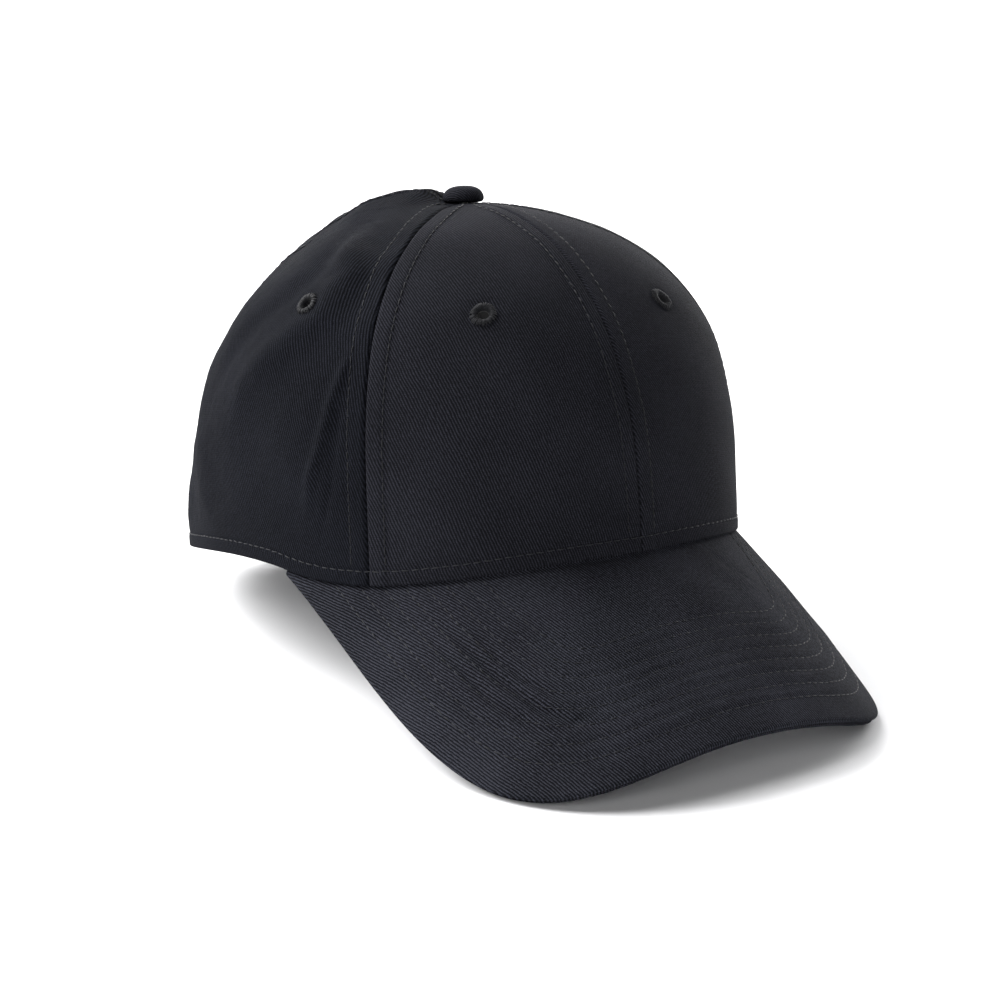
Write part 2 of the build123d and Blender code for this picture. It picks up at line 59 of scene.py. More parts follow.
# The cap's driving dimensions
RESTING_LEAN = 8.4
HALF_WIDTH, FRONT_REACH, BACK_REACH = 85.0, 99.3, 99.0
FRONT_SQUARENESS, BACK_SQUARENESS = 2.2, 2.1
CROWN_HEIGHT, TOP_Y = 122.6, -11.5
RISE_POWER = (0.843, -0.397, 0.334)
INSET_POWER = (0.883, 0.273, -0.204)
FRONT_SEAM, BACK_SEAM = 54.2, 130.6
SEAMS = (-BACK_SEAM, -FRONT_SEAM, 0.0, FRONT_SEAM, BACK_SEAM, 180.0)
SEAM_GAP = 0.1
TOP_HOLE_RADIUS = 2.6
VISOR_ROOT_HEIGHT, VISOR_SLOPE, VISOR_SAG = 19.2, 0.735, 0.002
VISOR_BEND_RADIUS, VISOR_BEND_POWER = 76.3, 2.39
VISOR_END_ANGLE, VISOR_LENGTH = 73.0, 121.0
VISOR_CORNER_POWERS, VISOR_BULGE, VISOR_GAP = (3.1, 3.86), 1.2, 0.65
VISOR_THICKNESS = 3.65
HEM_EASE, HEM_START_SLOPE = 0.88, 0.6
TWILL = 0.8
SWEATBAND_HEIGHT, SWEATBAND_FOOT = 30.0, 0.6
SWEATBAND_END = 147.0
SWEATBAND_STITCHES = (5.5, SWEATBAND_HEIGHT - 7.2)
SWEATBAND_DEPTHS = (3.6, 7.2)
SWEATBAND_DEEPENS = (88.0, 108.0)
EYELETS = ((25.2, 77.0), (74.0, 82.0), (155.0, 88.0), (-30.8, 77.5), (-71.8, 82.0), (-155.0, 88.0))
EYELET_HOLE_RADIUS, EYELET_RADIUS = 1.75, 4.1
BUTTON_RADIUS, BUTTON_HEIGHT = 6.8, 5.6
OPENING_HALF_WIDTH, OPENING_STRAIGHT, OPENING_ARCH = 45.0, 14.0, 34.0
ARC_Y, STRAP_LEAN = 18.0, 5.55
STRAP_RADIUS, STRAP_THICKNESS, STRAP_LOW, STRAP_HIGH = 75.9, 1.0, 6.5, 24.0
STRAP_ENDS = (53.0, -53.0)
STRAP_TAIL, STRAP_STITCH_INSET = 7.0, 2.2
STRAP_MIDDLE = (STRAP_LOW + STRAP_HIGH) / 2

# Linings: depths are below the crown's plain outer face
BUCKRAM_DEPTH, BUCKRAM_THICKNESS = 0.95, 0.45
FRONT_TAPE_DEPTH, TAPE_DEPTH, TAPE_THICKNESS = 1.5, 1.25, 0.4
TAPE_HALF_WIDTH, TAPE_STITCH_OFFSET = 6.0, 4.6
BINDING_START, BINDING_WIDTH, BINDING_DEPTHS = 0.12, 6.8, (0.95, 1.4)
LINING_FOLLOW = 0.9          # share of a fold's height that the linings follow

# Sewing
SEAM_STITCH_OFFSET = 5.0
HEM_STITCH_CLIMB = 4.4
OPENING_STITCH = 5.6
VISOR_ROWS, FIRST_ROW, ROW_PITCH, SIDE_ROW_PITCH = 8, 6.4, 3.45, 3.85
STITCH_LENGTH = 3.1
THREAD_RADIUS = 0.17
WALE_PITCH = 0.79
WALE_ANGLE = 111.0           # degrees from "across", in the flat pattern of every piece

# Fineness of the crown's grids: reach of the finer part and its step
SEAM_FINE, STITCH_FINE = (8, 0.16), (3, 0.4)
PANEL_RADIUS, BACK_RADIUS = 88.0, 90.0       # rounded radii that turn angles into lengths

# Floor, in metres below the cap, and camera
FLOOR_DROP = 0.00005
CAMERA_AZIMUTH, CAMERA_ELEVATION, CAMERA_ROLL = -36.075, 16.529, 3.136
CAMERA_TARGET, CAMERA_SHIFT = (0, -30, 60.0), (-5.766, -12.492)
CAMERA_DISTANCE, CAMERA_LENS, CAMERA_SENSOR = 624.9, 70.09, 36.0


def smooth(t):
    t = np.clip(t, 0, 1)
    return t * t * (3 - 2 * t)


def bump(distance, width):
    return np.exp(-(distance / width) ** 2)


# ---------------------------------------------------------------- the crown's surface

def rested(points):
    """Level-frame points, after the cap leans back about its back hem."""
    lean = math.radians(RESTING_LEAN)
    x, y, z = np.moveaxis(points, -1, 0)
    ahead = y - BACK_REACH
    return np.stack([x, BACK_REACH + ahead * math.cos(lean) + z * math.sin(lean),
                     z * math.cos(lean) - ahead * math.sin(lean)], axis=-1)


def rested_direction(v):
    lean = math.radians(RESTING_LEAN)
    x, y, z = np.moveaxis(v, -1, 0)
    return np.stack([x, y * math.cos(lean) + z * math.sin(lean), z * math.cos(lean) - y * math.sin(lean)],
                    axis=-1)


def hem_outline(angle):
    s, c = np.sin(angle), np.cos(angle)
    power = np.where(c > 0, FRONT_SQUARENESS, BACK_SQUARENESS)
    reach = np.where(c > 0, FRONT_REACH, BACK_REACH)
    radius = (np.abs(s) ** power + np.abs(c) ** power) ** (-1 / power)
    return HALF_WIDTH * s * radius, -reach * c * radius


def visor_sheet(x, y):
    ahead = -y - FRONT_REACH
    bend = VISOR_BEND_RADIUS / 2 * np.abs(x / VISOR_BEND_RADIUS) ** VISOR_BEND_POWER
    return VISOR_ROOT_HEIGHT - VISOR_SLOPE * ahead - VISOR_SAG * ahead ** 2 - bend


def hem_height(angle):
    turn = np.abs(np.arctan2(np.sin(angle), np.cos(angle)))
    end = math.radians(VISOR_END_ANGLE)
    start = visor_sheet(*hem_outline(end))
    step = 1e-3
    slope = (start - visor_sheet(*hem_outline(end - step))) / step
    t = np.clip((turn - end) / (math.pi - end), 0, 1) ** HEM_EASE
    settle = 2 * t ** 3 - 3 * t ** 2 + 1
    launch = t ** 3 - 2 * t ** 2 + t
    behind = (start + VISOR_GAP) * settle + slope * (math.pi - end) * HEM_START_SLOPE * launch
    return np.where(turn <= end, visor_sheet(*hem_outline(turn)) + VISOR_GAP, behind)


def three_term(terms, angle):
    return terms[0] + terms[1] * np.cos(angle) + terms[2] * np.cos(2 * angle)


def crown_tables(angles=1441, samples=500, shares=601):
    """Level-frame points, normals and full climbs over an even grid of angle and share of the climb."""
    angle = np.linspace(-math.pi, math.pi, angles)
    rise = three_term(RISE_POWER, angle)[:, None]
    inset = three_term(INSET_POWER, angle)[:, None]
    hem_x, hem_y = hem_outline(angle)
    hem_z = hem_height(angle)
    innermost = TOP_HOLE_RADIUS / np.hypot(hem_x, hem_y - TOP_Y)
    even = np.linspace(0, 1, samples)[None]
    by_inset = np.arccos((innermost[:, None] + (1 - innermost[:, None]) * even) ** (1 / inset))
    last = by_inset[:, :1]
    by_rise = np.minimum(np.arcsin(even ** (1 / rise)), last)
    turn = np.sort(np.concatenate([by_inset, by_rise], axis=1), axis=1)
    keep = np.cos(turn) ** inset
    points = np.stack([keep * hem_x[:, None], keep * hem_y[:, None] + (1 - keep) * TOP_Y,
                       hem_z[:, None] + (CROWN_HEIGHT - hem_z[:, None]) * np.sin(turn) ** rise], axis=2)
    climbed = np.cumsum(np.linalg.norm(np.diff(points, axis=1), axis=2), axis=1)
    climbed = np.concatenate([np.zeros((angles, 1)), climbed], axis=1)
    full = climbed[:, -1]
    table = np.empty((angles, shares, 3))
    for i in range(angles):
        at = np.linspace(0, full[i], shares)
        for k in range(3):
            table[i, :, k] = np.interp(at, climbed[i], points[i, :, k])
    reach = 6
    across = np.roll(table[:-1], -reach, axis=0) - np.roll(table[:-1], reach, axis=0)
    across = np.concatenate([across, across[:1]])
    up = np.empty_like(table)
    up[:, reach:-reach] = table[:, 2 * reach:] - table[:, :-2 * reach]
    up[:, :reach] = up[:, reach:reach + 1]
    up[:, -reach:] = up[:, -reach - 1:-reach]
    normal = np.cross(across, up)
    normal /= np.linalg.norm(normal, axis=2, keepdims=True)
    return full, table, normal


FULL_CLIMB, CROWN_POINTS, CROWN_NORMALS = crown_tables()


def wrapped(angle):
    return np.arctan2(np.sin(angle), np.cos(angle))


def full_climb(angle):
    at = (wrapped(angle) + math.pi) / (2 * math.pi) * (len(FULL_CLIMB) - 1)
    return np.interp(at, np.arange(len(FULL_CLIMB)), FULL_CLIMB)


def lookup(table, angle, climb):
    """Bilinear reading of a crown table."""
    angle, climb = np.broadcast_arrays(np.asarray(angle, float), np.asarray(climb, float))
    rows, columns = table.shape[:2]
    a = (wrapped(angle) + math.pi) / (2 * math.pi) * (rows - 1)
    c = np.clip(climb / full_climb(angle), 0, 1) * (columns - 1)
    i, j = np.minimum(a.astype(int), rows - 2), np.minimum(c.astype(int), columns - 2)
    fa, fc = (a - i)[..., None], (c - j)[..., None]
    low = table[i, j] * (1 - fa) + table[i + 1, j] * fa
    high = table[i, j + 1] * (1 - fa) + table[i + 1, j + 1] * fa
    return low * (1 - fc) + high * fc


def crown_normal(angle, climb):
    n = lookup(CROWN_NORMALS, angle, climb)
    return n / np.linalg.norm(n, axis=-1, keepdims=True)


def crown(angle, climb, rise=0.0):
    """Resting points on the crown, at a rise above its plain outer face."""
    rise = np.asarray(rise, float)
    plain = lookup(CROWN_POINTS, angle, climb)
    return rested(plain + rise[..., None] * crown_normal(angle, climb))


def spin_radius(angle, climb):
    """Distance from the crown's upright axis through the button."""
    x, y, _ = np.moveaxis(lookup(CROWN_POINTS, angle, climb), -1, 0)
    return np.hypot(x, y - TOP_Y)


def flat(angle, climb, middle):
    """Place in a panel's flat pattern: distance across from the panel's middle line, and climb."""
    return np.stack([wrapped(angle - middle) * spin_radius(angle, climb), climb + 0 * angle], axis=-1)


def seam_distance(angle, climb):
    """Sideways distance to the nearest seam."""
    nearest = np.min([np.abs(wrapped(angle - math.radians(s))) for s in SEAMS], axis=0)
    return nearest * spin_radius(angle, climb)


# ---------------------------------------------------------------- mesh helpers

def link(name, mesh, material, body="cap"):
    obj = bpy.data.objects.new(name, mesh)
    bpy.context.scene.collection.objects.link(obj)
    mesh.materials.append(material)
    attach(obj, body)
    return obj


def mesh_of(name, points, faces, uv=None):
    """Smooth-shaded mesh from millimetre points. uv is one pair a vertex, in millimetres."""
    mesh = bpy.data.meshes.new(name)
    points = np.asarray(points, float).reshape(-1, 3)
    faces = [np.asarray(f) for f in faces if len(f)]
    mesh.vertices.add(len(points))
    mesh.vertices.foreach_set("co", (points * MM).astype(np.float32).ravel())
    loops = np.concatenate([f.ravel() for f in faces])
    sizes = np.concatenate([np.full(len(f), f.shape[1]) for f in faces])
    mesh.loops.add(len(loops))
    mesh.loops.foreach_set("vertex_index", loops.astype(np.int32))
    mesh.polygons.add(len(sizes))
    starts = np.concatenate([[0], np.cumsum(sizes)[:-1]])
    mesh.polygons.foreach_set("loop_start", starts.astype(np.int32))
    mesh.polygons.foreach_set("use_smooth", np.ones(len(sizes), bool))
    if uv is not None:
        layer = mesh.uv_layers.new(name="cloth")
        layer.data.foreach_set("uv", np.asarray(uv, np.float32).reshape(-1, 2)[loops].ravel())
    mesh.update(calc_edges=True)
    mesh.validate()
    return mesh


def sheet_faces(shape, keep=None):
    """Quads of a grid of rows by columns, facing outward where columns x rows points out."""
    index = np.arange(shape[0] * shape[1]).reshape(shape)
    cells = np.stack([index[:-1, :-1], index[:-1, 1:], index[1:, 1:], index[1:, :-1]], axis=-1)
    return cells.reshape(-1, 4) if keep is None else cells[keep]


def shell_mesh(name, outer, inner, uv, keep=None):
    """A closed sheet between two grids of points, with walls round every free edge."""
    count = outer.shape[0] * outer.shape[1]
    front = sheet_faces(outer.shape[:2], keep)
    back = front[:, ::-1] + count
    start = front.ravel()
    end = np.roll(front, -1, axis=1).ravel()
    free = ~np.isin(start.astype(np.int64) * count + end, end.astype(np.int64) * count + start)
    start, end = start[free], end[free]
    walls = np.stack([end, start, start + count, end + count], axis=1)
    points = np.concatenate([outer.reshape(-1, 3), inner.reshape(-1, 3)])
    uv = np.concatenate([uv.reshape(-1, 2)] * 2)
    faces = np.concatenate([front, back, walls])
    used, renumbered = np.unique(faces, return_inverse=True)
    return mesh_of(name, points[used], [renumbered.reshape(faces.shape)], uv[used])


def even_samples(low, high, step, ease=()):
    """Rising samples about a step apart, finer where the ease places ask: (place, reach, finer step)."""
    out = [low]
    while out[-1] < high:
        at = out[-1]
        fine = min([step] + [s + (step - s) * min(1, abs(at - p) / r) for p, r, s in ease])
        out.append(at + fine)
    out = np.array(out)
    return low + (out - low) * (high - low) / (out[-1] - low)


def resampled(points, normals, step):
    """A path of points and normals at even distances of about a step."""
    measured = np.concatenate([[0], np.cumsum(np.linalg.norm(np.diff(points, axis=0), axis=1))])
    count = max(2, int(round(measured[-1] / step)) + 1)
    at = np.linspace(0, measured[-1], count)
    both = np.concatenate([points, normals], axis=1)
    read = np.stack([np.interp(at, measured, both[:, k]) for k in range(6)], axis=1)
    n = read[:, 3:] / np.linalg.norm(read[:, 3:], axis=1, keepdims=True)
    return at, read[:, :3], n


def tube_faces(rings, sides):
    """Quads along a tube of rings, and the two caps as fans of its end rings."""
    index = np.arange(rings * sides).reshape(rings, sides)
    after = np.roll(index, -1, axis=1)
    quads = np.stack([index[:-1], after[:-1], after[1:], index[1:]], axis=-1).reshape(-1, 4)
    return quads, index[0][::-1][None], index[-1][None]


def thread_row(points, normals, rng, length=STITCH_LENGTH, radius=THREAD_RADIUS, gap=0.42, lift=0.5):
    """One row of lockstitches along a path on the cloth: (points, quads, caps). Ends dive into the cloth."""
    step = 0.2
    at, path, n = resampled(points, normals, step)
    total = at[-1]
    count = max(1, int(total / length))
    pitch = total / count
    stops = np.linspace(0, 1, 7)
    centre = (np.arange(count) + 0.5) * pitch
    half = (pitch - gap) / 2
    along = centre[:, None] + (2 * stops[None] - 1) * half * rng.uniform(0.94, 1.03, (count, 1))
    along = np.clip(along, 0, total)
    p = np.stack([np.interp(along, at, path[:, k]) for k in range(3)], axis=-1)
    up = np.stack([np.interp(along, at, n[:, k]) for k in range(3)], axis=-1)
    up /= np.linalg.norm(up, axis=-1, keepdims=True)
    tangent = np.gradient(p, axis=1)
    tangent /= np.linalg.norm(tangent, axis=-1, keepdims=True) + 1e-9
    side = np.cross(tangent, up)
    arch = np.sin(stops * math.pi) ** 0.5
    height = radius * (lift * 2 * arch[None] - 1.1 * (1 - arch[None]) + rng.uniform(-0.15, 0.15, (count, 1)))
    slant = rng.normal(0, 0.07, (count, 1)) * (2 * stops[None] - 1) + rng.normal(0, 0.04, (count, 1))
    p = p + up * height[..., None] + side * slant[..., None]
    sides = 6
    turn = np.arange(sides) / sides * 2 * math.pi
    thick = radius * (0.55 + 0.45 * np.sin(stops * math.pi) ** 0.4)
    ring = (side[:, :, None] * np.cos(turn)[None, None, :, None]
            + up[:, :, None] * np.sin(turn)[None, None, :, None])
    verts = p[:, :, None] + ring * thick[None, :, None, None]
    quads, first, last = tube_faces(len(stops), sides)
    base = (np.arange(count) * len(stops) * sides)[:, None, None]
    return (verts.reshape(-1, 3), (quads[None] + base).reshape(-1, 4),
            np.concatenate([(first[None] + base).reshape(-1, sides), (last[None] + base).reshape(-1, sides)]))


def stitched(name, rows, material, body="cap", slot="embroidery_thread", seed=7, **kind):
    """All rows of one seam's stitches as one piece. A row is (points, normals)."""
    rng = np.random.default_rng(seed)
    points, quads, caps, base = [], [], [], 0
    for path, normals in rows:
        p, q, c = thread_row(path, normals, rng, **kind)
        points.append(p)
        quads.append(q + base)
        caps.append(c + base)
        base += len(p)
    mesh = mesh_of(name, np.concatenate(points), [np.concatenate(quads), np.concatenate(caps)])
    return link(name, mesh, material, body)


# ---------------------------------------------------------------- relief of the crown's cloth

def eyelet_places():
    return [(math.radians(a), c) for a, c in EYELETS]


def polyline_distance(u, v, line_u, line_v, samples=60):
    """Distance from flat places to a bent line, and how far along the line the nearest point is."""
    t = np.linspace(0, 1, samples)
    knots = np.linspace(0, 1, len(line_u))
    lu, lv = np.interp(t, knots, line_u), np.interp(t, knots, line_v)
    best = np.full(u.shape, 1e9)
    where = np.zeros(u.shape)
    for k in range(samples):
        d = np.hypot(u - lu[k], v - lv[k])
        closer = d < best
        best = np.where(closer, d, best)
        where = np.where(closer, t[k], where)
    return best, where


# Folds of the unlined side and back panels: (angle, climb) points, width and height in millimetres.
# Ridges stand out and hollows sink in. The wearer's right side is -, the left side has its own.
FOLDS = (
    (((-84, 124), (-72, 106), (-65.5, 95), (-67, 80), (-75, 67), (-84, 55), (-90, 43)), 5.4, 2.5),
    (((-97, 134), (-80, 108), (-77, 93), (-80, 84), (-88, 72), (-96, 60), (-101, 48)), 5.0, -1.4),
    (((-66, 64), (-73, 52), (-79, 40), (-82, 28)), 6.5, -0.4),
    (((-58, 71), (-59.3, 63), (-61.3, 53), (-63.4, 40), (-65.6, 31), (-67, 18)), 1.5, 1.25),
    (((-59.5, 54), (-60.3, 41), (-61.5, 27), (-64.2, 12)), 0.95, -0.6),
    (((-104, 40), (-102, 26), (-101, 12)), 8.0, 0.9),
    (((-118, 60), (-116, 40), (-117, 18)), 9.0, -1.1),
    (((-150, 112), (-142, 96), (-138, 74), (-139, 50)), 8.0, -1.4),
    (((-165, 100), (-158, 76), (-156, 58)), 7.0, 1.0),
    (((86, 124), (75, 100), (71, 82), (77, 66), (84, 50)), 7.5, 1.8),
    (((66, 112), (63, 90), (64, 70), (68, 50)), 6.5, -1.4),
    (((104, 130), (94, 100), (92, 80), (98, 58)), 8.0, -1.6),
    (((59, 62), (62, 48), (65, 32), (66, 18)), 3.2, 1.2),
    (((108, 56), (106, 36), (108, 14)), 8.0, 1.0),
    (((120, 70), (119, 44), (121, 22)), 8.0, -1.1),
    (((150, 110), (144, 92), (140, 70), (141, 46)), 8.0, 1.2),
    (((166, 98), (160, 78), (157, 60)), 7.0, -1.1),
)


NARROW_FOLD = 4.0            # folds narrower than this run right up to a seam

# Fuller cloth beside the button, behind the wearer's right: middle and spread in degrees, height in mm
SWELL_ANGLE, SWELL_SPREAD, SWELL_HEIGHT = -126.0, 42.0, 5.2


def top_swell(angle, climb):
    left = full_climb(angle) - climb
    off = np.degrees(wrapped(angle - math.radians(SWELL_ANGLE)))
    spread = SWELL_SPREAD + 70 * bump(left, 9)
    return SWELL_HEIGHT * bump(off, spread) * smooth((left + 1) / 11) * (1 - smooth((left - 18) / 40))


def soft_folds(angle, climb):
    """Height of the folds at places on the crown."""
    out = np.zeros(np.broadcast(angle, climb).shape)
    radius = spin_radius(angle, climb)
    from_seam = seam_distance(angle, climb)
    wide_fade = 0.25 + 0.75 * smooth((from_seam - 4.0) / 5.0)
    narrow_fade = smooth((from_seam - 0.6) / 1.8)
    for line, width, height in FOLDS:
        a, c = np.radians([p[0] for p in line]), np.array([p[1] for p in line], float)
        middle = a.mean()
        u = wrapped(angle - middle) * radius
        line_u = (a - middle) * spin_radius(a, c)
        distance, where = polyline_distance(u, climb + 0 * angle, line_u, c)
        taper = smooth(where * 4) * smooth((1 - where) * 4)
        ends = np.where((where <= 0) | (where >= 1), 0.0, 1.0)
        fade = narrow_fade if width < NARROW_FOLD else wide_fade
        out += height * bump(distance, width) * (0.15 + 0.85 * taper) * np.maximum(ends, 0.15) * fade
    inside = smooth((np.abs(wrapped(angle)) - math.radians(FRONT_SEAM)) * radius / 6.0)
    at_hem = smooth((climb - 1.0) / 12.0)
    near_top = smooth((full_climb(angle) - climb - 8.0) / 16.0)
    gathered = smooth((np.abs(wrapped(angle)) - math.radians(FRONT_SEAM)) * radius / 14.0)
    return out * at_hem * near_top * inside + top_swell(angle, climb) * gathered


def waves(seed, reach):
    """A smooth random field over flat places, from a few seeded sine waves about a reach long."""
    rng = np.random.default_rng(seed)
    terms = [(rng.normal(0, 1, 2) * 2 * math.pi / reach * rng.uniform(0.5, 1.4), rng.uniform(0, 2 * math.pi))
             for _ in range(14)]

    def field(u, v):
        return sum(np.sin(k[0] * u + k[1] * v + phase) for k, phase in terms) / math.sqrt(len(terms))
    return field


BROAD_WAVE = waves(11, 46.0)
SMALL_WAVE = waves(12, 9.0)


def arch_distance(angle, climb):
    """Distance outside the back opening's edge, seen from straight behind; negative inside."""
    x, y, z = np.moveaxis(lookup(CROWN_POINTS, angle, climb), -1, 0)
    t = np.linspace(0, math.pi, 181)
    sides = np.linspace(-OPENING_STRAIGHT, OPENING_STRAIGHT, 15)
    upright = np.full(len(sides), OPENING_HALF_WIDTH)
    edge_x = np.concatenate([upright, OPENING_HALF_WIDTH * np.cos(t), -upright])
    edge_z = np.concatenate([sides, OPENING_STRAIGHT + OPENING_ARCH * np.sin(t), sides[::-1]])
    best = np.full(x.shape, 1e9)
    for ex, ez in zip(edge_x, edge_z):
        best = np.minimum(best, np.hypot(x - ex, z - ez))
    up = np.clip((z - OPENING_STRAIGHT) / OPENING_ARCH, 0, 1)
    inside = (np.abs(x) < OPENING_HALF_WIDTH * np.sqrt(1 - up ** 2)) & (z < OPENING_STRAIGHT + OPENING_ARCH)
    best = np.where(inside, -best, best)
    return np.where(y > 0, best, 1e3)


def seam_relief(distance, near_top):
    """Roll into a seam, the raised band of its folded allowance, and the dip under its topstitch."""
    roll = 0.75
    inward = np.clip(1 - distance / roll, 0, 1)
    rolled = -roll * (1 - np.sqrt(np.maximum(1 - inward ** 2, 0)))
    band = 0.34 * smooth(distance / 1.2) * (1 - smooth((distance - SEAM_STITCH_OFFSET + 0.9) / 1.8))
    dip = -0.16 * bump(distance - SEAM_STITCH_OFFSET, 0.6)
    return rolled + (band + dip) * near_top


def relief(angle, climb):
    """Height of the finished outer cloth above the crown's plain face."""
    angle, climb = np.broadcast_arrays(np.asarray(angle, float), np.asarray(climb, float))
    radius = spin_radius(angle, climb)
    left = full_climb(angle) - climb
    near_top = smooth((left - 5.0) / 14.0)
    distance = seam_distance(angle, climb)
    out = seam_relief(distance, near_top)
    stitches = np.cos(2 * math.pi * climb / STITCH_LENGTH)
    out += 0.08 * stitches * bump(distance - SEAM_STITCH_OFFSET, 0.9) * near_top
    along = wrapped(angle) * radius
    over_stitch = climb - HEM_STITCH_CLIMB
    hem = 0.3 * (1 - smooth((over_stitch + 0.6) / 1.4)) - 0.26 * bump(over_stitch, 0.7)
    hem += 0.09 * np.cos(2 * math.pi * along / STITCH_LENGTH) * bump(over_stitch + 0.5, 1.1)
    edge = np.clip(1 - climb / 0.75, 0, 1)
    out += hem - 0.7 * (1 - np.sqrt(np.maximum(1 - edge ** 2, 0)))
    soft = smooth((np.abs(wrapped(angle)) - math.radians(FRONT_SEAM)) * radius / 3.0)
    out += soft_folds(angle, climb)
    fade = smooth((climb - 2) / 10) * smooth((left - 4) / 15)
    out += (0.12 + 0.22 * soft) * BROAD_WAVE(along, climb) * fade
    out += (0.02 + 0.05 * soft) * SMALL_WAVE(along, climb) * fade * smooth((distance - 1.5) / 3)
    for a, c in eyelet_places():
        r = np.hypot(wrapped(angle - a) * radius, climb - c)
        out += -0.25 * bump(r - EYELET_RADIUS - 0.2, 1.2) - 0.25 * bump(r, 3.0)
    near = arch_distance(angle, climb)
    edge = np.clip(1 - near / 0.7, 0, 1)
    rolled = -0.6 * (1 - np.sqrt(np.maximum(1 - edge ** 2, 0)))
    sewn = rolled - 0.18 * bump(near - OPENING_STITCH, 0.8) + 0.15 * (1 - smooth((near - 5.0) / 1.4))
    out += np.where(near < 20, sewn, 0)
    return out


def on_crown(angle, climb, above=0.0):
    """(points, normals) on the finished outer cloth."""
    step = 0.35
    angle, climb = np.broadcast_arrays(np.asarray(angle, float), np.asarray(climb, float))
    points = crown(angle, climb, relief(angle, climb) + above)
    turn = step / np.maximum(spin_radius(angle, climb), 2.0)
    across = (crown(angle + turn, climb, relief(angle + turn, climb))
              - crown(angle - turn, climb, relief(angle - turn, climb)))
    up = crown(angle, climb + step, relief(angle, climb + step)) - crown(
        angle, np.maximum(climb - step, 0), relief(angle, np.maximum(climb - step, 0)))
    normal = np.cross(across, up)
    normal /= np.linalg.norm(normal, axis=-1, keepdims=True) + 1e-12
    plain = rested_direction(crown_normal(angle, climb))
    normal = normal + plain
    return points, normal / np.linalg.norm(normal, axis=-1, keepdims=True)


# ---------------------------------------------------------------- materials

class Nodes:
    """Short calls for building a material's node tree."""

    def __init__(self, name):
        self.material = bpy.data.materials.new(name)
        self.material.use_nodes = True
        self.tree = self.material.node_tree
        self.shader = self.tree.nodes["Principled BSDF"]

    def node(self, kind, inputs=(), **settings):
        made = self.tree.nodes.new(kind)
        for key, value in settings.items():
            setattr(made, key, value)
        for key, value in dict(inputs).items():
            self.set(made.inputs[key], value)
        return made

    def set(self, socket, value):
        if isinstance(value, bpy.types.NodeSocket):
            self.tree.links.new(value, socket)
        else:
            socket.default_value = value

    def math(self, operation, *values):
        made = self.node("ShaderNodeMath", operation=operation)
        for socket, value in zip(made.inputs, values):
            self.set(socket, value)
        return made.outputs[0]

    def noise(self, vector, scale, detail=2.0, rough=0.5):
        made = self.node("ShaderNodeTexNoise", {"Vector": vector, "Scale": scale, "Detail": detail,
                                                "Roughness": rough})
        return made.outputs["Fac"]

    def ramp(self, fac, *stops):
        made = self.node("ShaderNodeValToRGB", {"Fac": fac})
        elements = made.color_ramp.elements
        while len(elements) < len(stops):
            elements.new(0.5)
        for element, (place, colour) in zip(elements, stops):
            element.position = place
            element.color = (*colour, 1) if len(colour) == 3 else colour
        return made.outputs["Color"]

    def grey(self, fac, *stops):
        return self.ramp(fac, *[(place, (value,) * 3) for place, value in stops])

    def bump(self, height, distance, strength=1.0):
        made = self.node("ShaderNodeBump", {"Height": height, "Distance": distance, "Strength": strength})
        return made.outputs["Normal"]

    def finish(self, **inputs):
        for key, value in inputs.items():
            self.set(self.shader.inputs[key.replace("_", " ")], value)
        return self.material


CLOTH_TINT = (0.94, 0.98, 1.26)


def tinted(value, tint=CLOTH_TINT):
    return tuple(value * t for t in tint)


